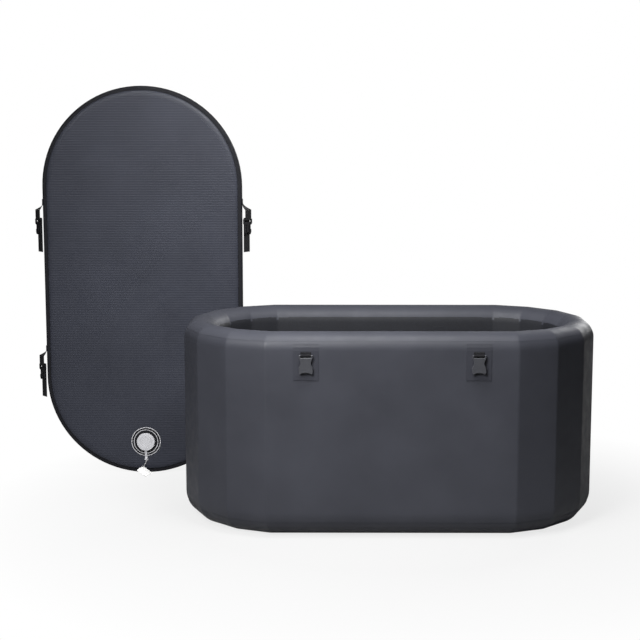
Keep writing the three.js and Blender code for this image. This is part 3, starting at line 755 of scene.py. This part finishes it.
def drilled(mesh, *holes):
    """Cuts round holes through a closed mesh: each is a matrix, a radius, a start and an end."""
    thing = bpy.data.objects.new("drilled", mesh)
    bpy.context.scene.collection.objects.link(thing)
    for matrix, radius, low, high in holes:
        bit = spun([(0, low), (radius, low), (radius, high), (0, high)], matrix)
        tool = bpy.data.objects.new("drill", bit)
        bpy.context.scene.collection.objects.link(tool)
        cut = thing.modifiers.new("hole", "BOOLEAN")
        cut.operation = "DIFFERENCE"
        cut.solver = "EXACT"
        cut.object = tool
        depsgraph = bpy.context.evaluated_depsgraph_get()
        result = bpy.data.meshes.new_from_object(thing.evaluated_get(depsgraph))
        thing.modifiers.clear()
        thing.data = result
        bpy.data.objects.remove(tool)
    result = thing.data
    bpy.data.objects.remove(thing)
    if len(result.polygons) == 0:
        raise RuntimeError("a hole took the whole piece away")
    return result


# Places: X along the surface, Y up and Z out of it

def wall_place(x, height, rear):
    """A place on the outside of the tub's front or rear wall."""
    sign = 1 if rear else -1
    return Matrix((
        (-sign, 0, 0, x),
        (0, 0, sign, sign * TUB_RADIUS),
        (0, 1, 0, height),
        (0, 0, 0, 1),
    ))


def lid_place():
    """The lid's middle, with Y up the lid and Z out of its front face."""
    return Matrix((
        (1, 0, 0, LID_CENTRE.x),
        (0, 0, -1, LID_CENTRE.y),
        (0, 1, 0, LID_CENTRE.z),
        (0, 0, 0, 1),
    ))


def tub_valve_place():
    """The tub valve's middle, on the rear wall."""
    return wall_place(VALVE_X, VALVE_HEIGHT, True)


def lid_valve_place():
    """The lid valve's middle, on the front face."""
    return lid_place() @ Matrix.Translation((0, LID_VALVE_HEIGHT - LID_CENTRE.z, LID_FACE))


def axis_of(matrix, column):
    """A direction of a matrix: 0 is its X axis, 1 its Y and 2 its Z."""
    return matrix.to_3x3().col[column].normalized()


def paint(material, *nodes):
    """Gives CAD nodes a finish."""
    for name in nodes:
        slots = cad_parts[name].data.materials
        slots.clear()
        slots.append(material)
        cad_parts[name].data.shade_smooth()
        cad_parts[name].data.set_sharp_from_angle(angle=math.radians(35))


# Tub

def wall_profile():
    """Section of the wall: up the inside, over the rim, down the outside and round the foot."""
    base = (TUB_RADIUS - BASE_RADIUS, SKIN + BASE_RADIUS)
    rim = (TUB_RADIUS - RIM_RADIUS, RIM_CENTRE)
    return (
        line((INNER_RADIUS, SKIN), (INNER_RADIUS, RIM_CENTRE), 24)
        + arc(rim, RIM_RADIUS, math.pi, 0, 20)[:-1]
        + line((TUB_RADIUS, RIM_CENTRE), (TUB_RADIUS, base[1]), 26)
        + arc(base, BASE_RADIUS, 0, -math.pi / 2, 12)
    )


def build_wall():
    """Wall skin with its lining, and the holes of the valve and the drain."""
    share = finish().fillet
    skin = swept(wall_profile(), TUB_STRAIGHT, share, True)
    valve = (tub_valve_place(), VALVE_HOLE, -HOLE_DEPTH, HOLE_CLEARANCE)
    through = -WALL_THICKNESS - HOLE_CLEARANCE
    drain = (wall_place(DRAIN_X, DRAIN_HEIGHT, True), DRAIN_HOLE, through, HOLE_CLEARANCE)
    skin = drilled(skin, valve, drain)
    wall = piece("wall_skin", skin, "tub", [wall_vinyl(), lining_vinyl()], ["wall_panel"])
    for patch in skin.polygons:
        middle = patch.center
        spine = max(-TUB_STRAIGHT, min(TUB_STRAIGHT, middle.x))
        patch.material_index = int(math.hypot(middle.x - spine, middle.y) < INNER_RADIUS * 1.02)


def feathered(points, centre, steps=4):
    """Thins the first points of a tape's outside, so that its edge runs out into the skin."""
    thinned = []
    for i, (radius, height) in enumerate(points):
        sink = 0.85 * TAPE * max(0.0, 1 - i / steps)
        away = Vector((radius - centre[0], height - centre[1]))
        away -= sink * away.normalized()
        thinned.append((centre[0] + away.x, centre[1] + away.y))
    return thinned


def build_tapes():
    """Tape over the rim and tape round the foot, with edges that run out into the skin."""
    share = finish().fillet
    rim = (TUB_RADIUS - RIM_RADIUS, RIM_CENTRE)
    steps = 26
    outside = feathered(arc(rim, RIM_RADIUS + SKIN, *RIM_TAPE, steps), rim)
    outside = feathered(outside[::-1], rim)[::-1]
    profile = outside + arc(rim, RIM_RADIUS + SEAT_GAP, *RIM_TAPE[::-1], steps)
    mesh = swept(profile, TUB_STRAIGHT, share, True)
    piece("rim_tape", mesh, "tub", rim_vinyl_painted_light(), ["rim_band"])

    base = (TUB_RADIUS - BASE_RADIUS, SKIN + BASE_RADIUS)
    low, high = BASE_TAPE
    steps = 14
    profile = (
        feathered(arc(base, BASE_RADIUS + SKIN, high, low, steps), base)[::-1]
        + arc(base, BASE_RADIUS + SEAT_GAP, high, low, steps)
    )

    def pucker(number, index):
        """Small gathers along the tape's upper edge."""
        edge = max(0.0, 1 - abs(index - steps) / 4)
        return PUCKER * edge * (1 + noise.noise((number * 0.9, 0.5, 0.5)))

    mesh = swept(profile, TUB_STRAIGHT, share, True, pucker)
    piece("base_tape", mesh, "tub", tape_vinyl(), ["base_band"])


def build_floor():
    """Inflated floor pad, the tape that joins it to the wall, and the finish of the ground sheet."""
    share = finish().fillet
    edge = INNER_RADIUS - SEAT_GAP
    corner = (edge - FLOOR_EDGE_RADIUS, FLOOR_TOP - FLOOR_EDGE_RADIUS)
    profile = (
        line((0.0, SKIN), (edge, SKIN), 6)
        + line((edge, SKIN), (edge, corner[1]), 3)
        + arc(corner, FLOOR_EDGE_RADIUS, 0, math.pi / 2, 6)
        + line((corner[0] - 0.01, FLOOR_TOP), (0.0, FLOOR_TOP), 12)
        + [(0.0, FLOOR_TOP)]
    )
    mesh = swept(profile, TUB_STRAIGHT, share, False)
    pad = piece("floor_pad", mesh, "tub", lining_vinyl(), ["floor_panel"])

    side, top = edge, FLOOR_TOP + SEAT_GAP
    bend = 3 * TAPE
    heel = arc((side - TAPE - bend, top + TAPE + bend), bend, 0, -math.pi / 2, 5)
    profile = (
        [(side - FLOOR_TAPE_LEG, top), (side, top), (side, top + FLOOR_TAPE_LEG)]
        + [(side - TAPE, top + FLOOR_TAPE_LEG)] + heel + [(side - FLOOR_TAPE_LEG, top + TAPE)]
    )
    mesh = swept(profile, TUB_STRAIGHT, share, True)
    piece("floor_weld", mesh, "tub", lining_vinyl(), ["floor_tape"])
    paint(tape_vinyl(), "ground_sheet", "outer_seam_strip")
    paint(lining_vinyl(), "inner_seam_left", "inner_seam_right")


def build_sockets():
    """Socket buckles: patch finish, sewn loop of webbing and its stitches."""
    weave, sewn = woven_webbing(), thread()
    plastic, tape = socket_plastic(), tape_vinyl()
    for face, rear in (("front", False), ("rear", True)):
        for side, sign in SIDES.items():
            place = f"{face}_{side}"
            bar = wall_place(sign * BUCKLE_SPACING / 2, BAR_HEIGHT, rear)
            bar = bar @ Matrix.Translation((0, 0, BAR_STANDOFF)) @ Matrix.Rotation(math.pi, 4, "Z")
            paint(tape, f"buckle_patch_{place}")
            paint(plastic, f"socket_buckle_{place}")
            build_loop(place, bar, weave, sewn)


def build_loop(place, bar, weave, sewn):
    """Webbing doubled round a buckle's bar and sewn down above it."""
    over = WEB_THICKNESS * 1.05
    side_view = line((-LOOP_MIDDLE, -LOOP_TAIL), (-LOOP_MIDDLE, 0.0), 3)
    side_view += arc((0, 0), LOOP_MIDDLE, math.pi, -LOOP_LAP, 18)
    side_view += [
        (-LOOP_MIDDLE + over, -2.0 * LOOP_MIDDLE),
        (-LOOP_MIDDLE + over, -LOOP_TAIL * 0.96),
    ]
    path, facing = banded(side_view, bar)
    mesh = ribbon(path, axis_of(bar, 0), facing)
    name = f"loop_webbing_{place}"
    piece(name, mesh, "tub", weave, [f"buckle_loop_{place}"])
    top = bar @ Matrix.Translation((0, 0, -LOOP_MIDDLE + over + WEB_THICKNESS / 2))
    runs = stitch_rows(top, [-LOOP_TAIL * drop for drop in LOOP_ROWS])
    piece(f"loop_stitches_{place}", stitching(runs, axis_of(bar, 2)), "tub", sewn)


def banded(side_view, matrix):
    """A side view of outward distance and height, as a path with its facing directions."""
    flat = [Vector((0, height, out)) for out, height in side_view]
    path = [matrix @ point for point in flat]
    width = axis_of(matrix, 0)
    facing = []
    for i in range(len(path)):
        ahead = path[min(i + 1, len(path) - 1)] - path[max(i - 1, 0)]
        facing.append(width.cross(ahead.normalized()))
    return path, facing


# Valves and drain

def build_valves():
    """Valve patches, caps with their leashes, springs, and the finishes of the inner pieces."""
    black, grey, wire = black_plastic(), grey_plastic(), spring_wire()
    build_valve("tub", tub_valve_place(), grey, wire)
    build_valve("lid", lid_valve_place(), grey, wire)
    for owner in ("tub", "lid"):
        paint(black, f"{owner}_valve_body", f"{owner}_valve_nut")
        paint(grey, f"{owner}_valve_poppet", f"{owner}_valve_anchor")


def build_valve(owner, place, grey, wire):
    """One valve's patch, cap and spring; the tub and the lid are named after their bodies."""
    lip = TAPE / 2
    patch = spun([
        (VALVE_HOLE, SEAT_GAP), (VALVE_PATCH_RADIUS, SEAT_GAP), (VALVE_PATCH_RADIUS, SKIN - lip),
        (VALVE_PATCH_RADIUS - lip, SKIN), (VALVE_HOLE, SKIN),
    ], place, True)
    light_rings = ringed_patch(f"{owner}_ringed_patch", place.to_translation(), VALVE_RINGS)
    piece(f"{owner}_valve_disc", patch, owner, light_rings, [f"{owner}_valve_patch"])

    cap = spun(cap_profile(), place)
    joined = bmesh.new()
    joined.from_mesh(cap)
    joined.from_mesh(leash_mesh(place))
    joined.to_mesh(cap)
    joined.free()
    piece(f"{owner}_valve_cover", cap, f"{owner}_cap", grey, [f"{owner}_valve_cap"])

    mesh = coil_mesh(place)
    coil = piece(f"{owner}_valve_coil", mesh, owner, wire, [f"{owner}_valve_spring"])
    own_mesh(coil)


def coil_mesh(place):
    """Coil of round wire about the Z axis of a matrix."""
    steps, sides = 24 * COIL_TURNS, 10
    low, high = SPRING_FOOT + WIRE_RADIUS, SPRING_TOP - WIRE_RADIUS
    section = arc((COIL_RADIUS, 0), WIRE_RADIUS, 0, math.tau, sides)[:-1]

    def build(solid):
        rows = []
        for i in range(steps + 1):
            angle = math.tau * COIL_TURNS * i / steps
            height = low + (high - low) * i / steps
            rows.append([
                solid.verts.new(place @ Vector((r * math.cos(angle), r * math.sin(angle), height + z)))
                for r, z in section
            ])
        grid_faces(solid, rows, False, True)
        solid.faces.new(rows[0])
        solid.faces.new(rows[-1])
    return mesh_of(build)


def cap_profile():
    """Domed cap with a shallow dish, a ring groove and a plug below."""
    edge, groove, bevel, lead = 0.002, 0.0006, 0.0004, 0.0005
    inner = PLUG_RADIUS - PLUG_WALL
    roof = CAP_FOOT + 0.0015
    shallow = CAP_TOP - 0.75 * CAP_DISH
    near, far = CAP_GROOVE
    plug_foot = CAP_FOOT - PLUG_DEPTH
    return [
        (0.0, CAP_TOP - CAP_DISH), (0.012, shallow), (near, CAP_TOP), (near + groove, CAP_TOP - groove),
        (far - groove, CAP_TOP - groove), (far, CAP_TOP),
        (CAP_RADIUS - 2.4 * edge, shallow),
        *arc((CAP_RADIUS - edge, CAP_TOP - CAP_DISH - edge), edge, math.radians(80), 0, 5),
        (CAP_RADIUS, CAP_FOOT + bevel), (CAP_RADIUS - bevel, CAP_FOOT),
        (PLUG_RADIUS, CAP_FOOT), (PLUG_RADIUS, plug_foot + lead),
        (PLUG_RADIUS - lead, plug_foot), (inner, plug_foot), (inner, roof), (0.0, roof),
    ]


def leash_mesh(place):
    """Flexible tongue from the cap down to its anchor."""
    rise = CAP_FOOT + LEASH_RISE
    side_view = [
        (rise, -CAP_RADIUS + 0.004), (rise, -CAP_RADIUS - 0.001), (rise - 0.0006, -CAP_RADIUS - 0.005),
        (0.0048, -0.050), (0.0040, -0.058), (0.0034, -VALVE_PATCH_RADIUS),
        (LEASH_FOOT, -LEASH_REACH + SEAT_GAP),
    ]
    path, facing = banded(side_view, place)
    return ribbon(path, axis_of(place, 0), facing, LEASH_WIDTH, LEASH_THICKNESS)


def build_drain():
    """Finishes of the drain's pieces."""
    paint(black_plastic(), "drain_pipe", "drain_nut", "drain_cap")
    paint(washer_rubber(), "drain_gasket")


# Lid

def upright(mesh):
    """Turns a flat swept piece so that it stands as the lid does."""
    turn = lid_place() @ Matrix.Rotation(math.pi / 2, 4, "Z")
    mesh.transform(turn)
    return mesh


def build_lid():
    """Lid panel with ribbed faces and the tape round its edge."""
    groove = LID_RADIUS - LID_TAPE_LAP
    half = shoulder(LID_SUNK) + [(groove, LID_TAPE_HALF - TAPE), (groove, 0.0)]
    profile = mirrored(half)
    core = upright(swept(profile, LID_STRAIGHT, 1.0, False))
    hole = (lid_valve_place(), VALVE_HOLE, -HOLE_DEPTH, HOLE_CLEARANCE)
    core = drilled(core, hole)
    vinyl = lid_vinyl()
    panel = piece("lid_skin", core, "lid", vinyl, ["lid_panel"])
    front = drilled(ribbed_face(1), hole)
    piece("lid_face_front", front, "lid", vinyl)
    piece("lid_face_rear", ribbed_face(-1), "lid", vinyl)

    outer = mirrored(rounded_edge(LID_RADIUS, LID_TAPE_HALF))
    inner = mirrored(rounded_edge(LID_RADIUS - TAPE, LID_TAPE_HALF - TAPE))
    profile = outer + inner[::-1]
    band = upright(swept(profile, LID_STRAIGHT, 1.0, True))
    piece("lid_edge_tape", band, "lid", edge_vinyl(), ["lid_edge_band"])


def mirrored(half):
    """A half profile from the face to the middle, then its mirror image to the other face."""
    return half + [(radius, -height) for radius, height in half[-2::-1]]


def shoulder(sunk):
    """Half profile of a lid face: flat, then rounding down into the groove beside the edge tape."""
    start, groove = LID_RADIUS - LID_SHOULDER, LID_RADIUS - LID_TAPE_LAP
    steps = 10
    points = [(0.0, LID_FACE - sunk)]
    for i in range(steps + 1):
        turn = math.pi / 2 * i / steps
        height = LID_GROOVE + (LID_FACE - sunk - LID_GROOVE) * math.cos(turn)
        points.append((start + (groove - start) * math.sin(turn), height))
    return points


def rounded_edge(radius, high):
    """Half profile of the edge tape: a squarish curve from the groove to the middle of the edge."""
    groove = LID_RADIUS - LID_TAPE_LAP
    steps = 12
    points = []
    for i in range(steps + 1):
        turn = math.pi / 2 * i / steps
        out = math.sin(turn) ** (2 / LID_SQUARENESS)
        up = math.cos(turn) ** (2 / LID_SQUARENESS) if i < steps else 0.0
        points.append((groove + (radius - groove) * out, high * up))
    return points


def ribbed_face(sign):
    """A skin on one face of the lid, drawn in along each row of drop threads."""
    radius = LID_RADIUS - LID_SHOULDER
    pitch, depth = finish().rib_pitch, finish().rib_depth
    half = LID_STRAIGHT + radius
    rows = 4 * round(2 * half / pitch)
    columns = 16
    place = lid_place()

    def build(solid):
        sheets = ([], [])
        for i in range(rows + 1):
            height = -half + 2 * half * i / rows
            beyond = max(0.0, abs(height) - LID_STRAIGHT)
            width = max(math.sqrt(max(radius * radius - beyond * beyond, 0.0)), LID_TIP_WIDTH)
            rib = depth * math.cos(math.tau * (height + half) / pitch)
            for sheet, level in zip(sheets, (LID_FACE - depth + rib, LID_FACE - LID_FACE_SKIN)):
                sheet.append([
                    solid.verts.new(place @ Vector((width * (2 * j / columns - 1), height, sign * level)))
                    for j in range(columns + 1)
                ])
        close_sheets(solid, *sheets)
    return mesh_of(build)


# Straps

def build_straps():
    """Strap roots sewn to the lid's edge, hanging webbing and the plug buckles' finish."""
    weave, sewn, plastic = woven_webbing(), thread(), black_plastic()
    for level, up in LEVELS.items():
        for side, sign in SIDES.items():
            place = f"{level}_{side}"
            top = up * BUCKLE_SPACING / 2 + STRAP_RISE
            build_root(place, sign, top, weave, sewn)
            build_strap(place, sign, top, weave, sewn)
            paint(plastic, f"plug_buckle_{place}")


def build_root(place, sign, top, weave, sewn):
    """Webbing sewn flat on the lid's edge, then peeling off and turning to the front."""
    lid = lid_place()
    seat = SEAT_GAP + WEB_THICKNESS / 2
    path, across, facing = [], [], []
    steps = 22
    for i in range(steps + 1):
        along = i / steps
        ease = (max(0.0, along - ROOT_SEWN) / (1 - ROOT_SEWN)) ** 2
        turn = sign * (math.pi / 2 + (STRAP_TURN - math.pi / 2) * ease)
        out = sign * (LID_RADIUS + seat + (STRAP_STANDOFF - seat) * ease)
        path.append(lid @ Vector((out, top - along * ROOT_LENGTH, 0)))
        across.append(lid.to_3x3() @ Vector((math.cos(turn), 0, -math.sin(turn))))
        facing.append(lid.to_3x3() @ Vector((math.sin(turn), 0, math.cos(turn))))
    mesh = ribbon(path, across, facing)
    piece(f"root_webbing_{place}", mesh, "lid", weave, [f"strap_root_{place}"])
    flat = Matrix.Translation((sign * (LID_RADIUS + seat + WEB_THICKNESS / 2), top, 0))
    flat = lid @ flat @ Matrix.Rotation(sign * math.pi / 2, 4, "Y")
    runs = box_stitch(flat, BOX_HALF_WIDTH, -ROOT_LENGTH * ROOT_SEWN, -BOX_DROP)
    piece(f"root_stitches_{place}", stitching(runs, axis_of(flat, 2)), "lid", sewn)


def build_strap(place, sign, top, weave, sewn):
    """Webbing down to the plug's bar, round it, and a free tail behind."""
    fold = lid_place() @ Matrix.Translation((sign * (LID_RADIUS + STRAP_STANDOFF), top - ROOT_LENGTH, 0))
    fold = fold @ Matrix.Rotation(sign * STRAP_TURN, 4, "Y")
    bar = fold @ Matrix.Translation((0, -STRAP_LENGTH, -LOOP_MIDDLE))
    turn_back = (LOOP_MIDDLE + TAIL_MIDDLE) / 2
    side_view = line((LOOP_MIDDLE, STRAP_LENGTH - SEAT_GAP), (LOOP_MIDDLE, 0.0), 6)
    side_view += arc((0, 0), LOOP_MIDDLE, 0, -math.pi, 16)
    side_view += arc((-turn_back, TAIL_CREST), TAIL_MIDDLE - turn_back, 0, math.pi, 8)
    side_view += [(-TAIL_MIDDLE, -STRAP_TAIL * share) for share in (0.1, 0.3, 0.5, 0.7, 0.9, 1.0)]
    path, facing = banded(side_view, bar)
    mesh = ribbon(path, axis_of(bar, 0), facing)
    body = f"strap_{place}"
    piece(f"hanging_webbing_{place}", mesh, body, weave, [f"strap_webbing_{place}"])
    hem = bar @ Matrix.Translation((0, 0, -TAIL_MIDDLE - WEB_THICKNESS / 2))
    runs = stitch_rows(hem, [-STRAP_TAIL + rise for rise in HEM_ROWS])
    piece(f"hem_stitches_{place}", stitching(runs, -axis_of(bar, 2)), body, sewn)


# Tag

def build_tag():
    """Blank folded tag on a short cord from the lid valve's anchor."""
    place = lid_valve_place()
    down = Vector((0, -math.sin(TAG_SLOPE), math.cos(TAG_SLOPE)))
    right = Vector((1, 0, 0))
    lengthwise = right * math.cos(TAG_SPIN) + down * math.sin(TAG_SPIN)
    widthwise = -right * math.sin(TAG_SPIN) + down * math.cos(TAG_SPIN)
    facing = widthwise.cross(lengthwise)
    columns, rows = 16, 12

    def build(solid):
        sheets = ([], [])
        for i in range(rows + 1):
            for sheet, lift in zip(sheets, (0.0, TAG_THICKNESS)):
                row = []
                for j in range(columns + 1):
                    share = j / columns
                    crest = (1 - abs(2 * share - 1)) * TAG_WIDTH / 2 * math.sin(TAG_FOLD)
                    curl = TAG_CURL * math.sin(math.pi * i / rows) * math.sin(math.pi * share)
                    local = TAG_CORNER + widthwise * share * TAG_WIDTH * math.cos(TAG_FOLD)
                    local = local + lengthwise * TAG_LENGTH * i / rows + facing * (crest + curl + lift)
                    row.append(solid.verts.new(place @ local))
                sheet.append(row)
        close_sheets(solid, *sheets)
    tag = piece("blank_tag", mesh_of(build), "lid", tag_card(), ["tag"])
    build_cord(place, facing, (widthwise + lengthwise).normalized())


def build_cord(place, facing, inward):
    """Twisted cord from the anchor, over the tag's corner and along its face."""
    start = Vector((0, ANCHOR_FOOT - CORD_RADIUS / 2, CORD_HEIGHT))
    end = TAG_CORNER + facing * (TAG_THICKNESS + SEAT_GAP + CORD_RADIUS)
    points = []
    steps = 18
    for i in range(steps + 1):
        share = i / steps
        sag = math.sin(math.pi * share)
        point = start.lerp(end, share) + Vector((CORD_SWAY * sag, 0, CORD_BOW * sag))
        points.append(place @ point)
    for i in range(1, TIED_STEPS + 1):
        run = TIED_END * i / TIED_STEPS
        lift = run * math.sin(TAG_FOLD) + TIED_BOW * math.sin(math.pi / 2 * i / TIED_STEPS)
        points.append(place @ (end + inward * run + facing * lift))
    curve = bpy.data.curves.new("tag_string", "CURVE")
    curve.dimensions = "3D"
    curve.bevel_depth = CORD_RADIUS
    curve.bevel_resolution = 3
    curve.use_fill_caps = True
    spline = curve.splines.new("POLY")
    spline.points.add(len(points) - 1)
    for target, point in zip(spline.points, points):
        target.co = (*point, 1)
    curve.materials.append(tag_thread())
    string = bpy.data.objects.new("tag_string", curve)
    bpy.context.scene.collection.objects.link(string)
    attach(string, "lid")
    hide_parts("tag_cord")


# Studio

def build_stage():
    """White studio floor, soft lights and the camera."""
    scene = bpy.context.scene
    scene.view_settings.view_transform = "Standard"
    build_world(scene)
    build_ground()
    soft_light("key_light", power=studio().key_power, **KEY_LIGHT)
    soft_light("top_light", power=studio().top_power, **TOP_LIGHT)
    soft_light("rear_light", power=studio().rear_power, **REAR_LIGHT)
    camera = bpy.data.cameras.new("camera")
    camera.lens = studio().lens
    camera.sensor_width = SENSOR_WIDTH
    camera.dof.use_dof = False
    holder = bpy.data.objects.new("camera", camera)
    holder.location = studio().camera_place
    holder.rotation_euler = (math.pi / 2 - studio().camera_pitch, 0, studio().camera_yaw)
    scene.collection.objects.link(holder)
    scene.camera = holder


def build_world(scene):
    """White to the camera, and a softer even light on everything else."""
    world = bpy.data.worlds.new("studio")
    world.use_nodes = True
    scene.world = world
    tree = world.node_tree
    sky = tree.nodes["Background"]
    sky.inputs["Color"].default_value = (1, 1, 1, 1)
    path = tree.nodes.new("ShaderNodeLightPath")
    strength = tree.nodes.new("ShaderNodeMapRange")
    strength.inputs["To Min"].default_value = studio().ambient
    strength.inputs["To Max"].default_value = 1.0
    tree.links.new(path.outputs["Is Camera Ray"], strength.inputs["Value"])
    tree.links.new(strength.outputs["Result"], sky.inputs["Strength"])


def build_ground():
    """Pale floor that fades to white away from the object and keeps its shadow."""
    mesh = bpy.data.meshes.new("ground")
    far = GROUND_REACH
    mesh.from_pydata([(-far, -far, 0), (far, -far, 0), (far, far, 0), (-far, far, 0)], [], [(0, 1, 2, 3)])
    nodes = Nodes("studio_ground", tuple(studio().floor_colour), 0.9, 0.1)
    glow = nodes.add("ShaderNodeEmission", Color=(1, 1, 1, 1), Strength=1.0)
    path = nodes.add("ShaderNodeLightPath")
    reach = nodes.add("ShaderNodeVectorMath", operation="LENGTH")
    nodes.link(nodes.place(), reach.inputs[0])
    fade = nodes.span(reach.outputs["Value"], GROUND_WHITE, 1.0, GROUND_FADE)
    share = nodes.math("MULTIPLY", fade, path.outputs["Is Camera Ray"])
    mix = nodes.add("ShaderNodeMixShader")
    nodes.link(share, mix.inputs["Fac"])
    nodes.link(nodes.shader.outputs["BSDF"], mix.inputs[1])
    nodes.link(glow.outputs["Emission"], mix.inputs[2])
    nodes.link(mix.outputs["Shader"], nodes.tree.nodes["Material Output"].inputs["Surface"])
    mesh.materials.append(nodes.material)
    ground = bpy.data.objects.new("ground", mesh)
    bpy.context.scene.collection.objects.link(ground)


def soft_light(name, place, target, size, power, spread):
    """A round area light that the camera does not see."""
    lamp = bpy.data.lights.new(name, "AREA")
    lamp.shape = "DISK"
    lamp.size = size
    lamp.energy = power
    lamp.spread = spread
    holder = bpy.data.objects.new(name, lamp)
    holder.location = place
    holder.visible_camera = False
    holder.rotation_euler = (Vector(target) - Vector(place)).to_track_quat("-Z", "Y").to_euler()
    bpy.context.scene.collection.objects.link(holder)


# Operators

class PLUNGE_OT_stage(bpy.types.Operator):
    """Set up the camera, lights and floor"""

    bl_idname = "plunge.stage"
    bl_label = "Stage"

    def execute(self, context):
        build_stage()
        return {"FINISHED"}


class PLUNGE_OT_wall(bpy.types.Operator):
    """Make the wall's skin and lining"""

    bl_idname = "plunge.wall"
    bl_label = "Wall"

    def execute(self, context):
        build_wall()
        return {"FINISHED"}


class PLUNGE_OT_tapes(bpy.types.Operator):
    """Make the rim tape and the base tape"""

    bl_idname = "plunge.tapes"
    bl_label = "Rim and base tapes"

    def execute(self, context):
        build_tapes()
        return {"FINISHED"}


class PLUNGE_OT_floor(bpy.types.Operator):
    """Make the floor pad and its welded tape"""

    bl_idname = "plunge.floor"
    bl_label = "Floor"

    def execute(self, context):
        build_floor()
        return {"FINISHED"}


class PLUNGE_OT_sockets(bpy.types.Operator):
    """Make the socket buckles' loops and stitching"""

    bl_idname = "plunge.sockets"
    bl_label = "Socket buckles"

    def execute(self, context):
        build_sockets()
        return {"FINISHED"}


class PLUNGE_OT_valves(bpy.types.Operator):
    """Make the air valves' patches, caps and springs"""

    bl_idname = "plunge.valves"
    bl_label = "Air valves"

    def execute(self, context):
        build_valves()
        return {"FINISHED"}


class PLUNGE_OT_drain(bpy.types.Operator):
    """Finish the drain"""

    bl_idname = "plunge.drain"
    bl_label = "Drain"

    def execute(self, context):
        build_drain()
        return {"FINISHED"}


class PLUNGE_OT_lid(bpy.types.Operator):
    """Make the lid's ribbed panel and edge tape"""

    bl_idname = "plunge.lid"
    bl_label = "Lid"

    def execute(self, context):
        build_lid()
        return {"FINISHED"}


class PLUNGE_OT_straps(bpy.types.Operator):
    """Make the lid's straps"""

    bl_idname = "plunge.straps"
    bl_label = "Straps"

    def execute(self, context):
        build_straps()
        return {"FINISHED"}


class PLUNGE_OT_tag(bpy.types.Operator):
    """Make the blank tag and its cord"""

    bl_idname = "plunge.tag"
    bl_label = "Tag"

    def execute(self, context):
        build_tag()
        return {"FINISHED"}


OPERATORS = (
    PLUNGE_OT_stage, PLUNGE_OT_tag, PLUNGE_OT_wall, PLUNGE_OT_tapes, PLUNGE_OT_floor,
    PLUNGE_OT_sockets, PLUNGE_OT_valves, PLUNGE_OT_drain, PLUNGE_OT_lid, PLUNGE_OT_straps,
)


class PLUNGE_PT_panel(bpy.types.Panel):
    """Settings and steps of the plunge tub"""

    bl_label = "Cold plunge tub"
    bl_idname = "PLUNGE_PT_panel"
    bl_space_type = "VIEW_3D"
    bl_region_type = "UI"
    bl_category = "Plunge"

    def draw(self, context):
        for settings in (finish(), studio()):
            for name in settings.__annotations__:
                self.layout.prop(settings, name)
        for operator in OPERATORS:
            self.layout.operator(operator.bl_idname)


CLASSES = (TubFinish, StageFinish, *OPERATORS, PLUNGE_PT_panel)


def register():
    for item in CLASSES:
        bpy.utils.register_class(item)
    bpy.types.Scene.plunge_finish = PointerProperty(type=TubFinish)
    bpy.types.Scene.plunge_stage = PointerProperty(type=StageFinish)


def unregister():
    del bpy.types.Scene.plunge_stage
    del bpy.types.Scene.plunge_finish
    for item in reversed(CLASSES):
        bpy.utils.unregister_class(item)


def main():
    """Runs every step in order."""
    register()
    for operator in OPERATORS:
        group, name = operator.bl_idname.split(".")
        getattr(getattr(bpy.ops, group), name)()


if __name__ == "__main__":
    main()
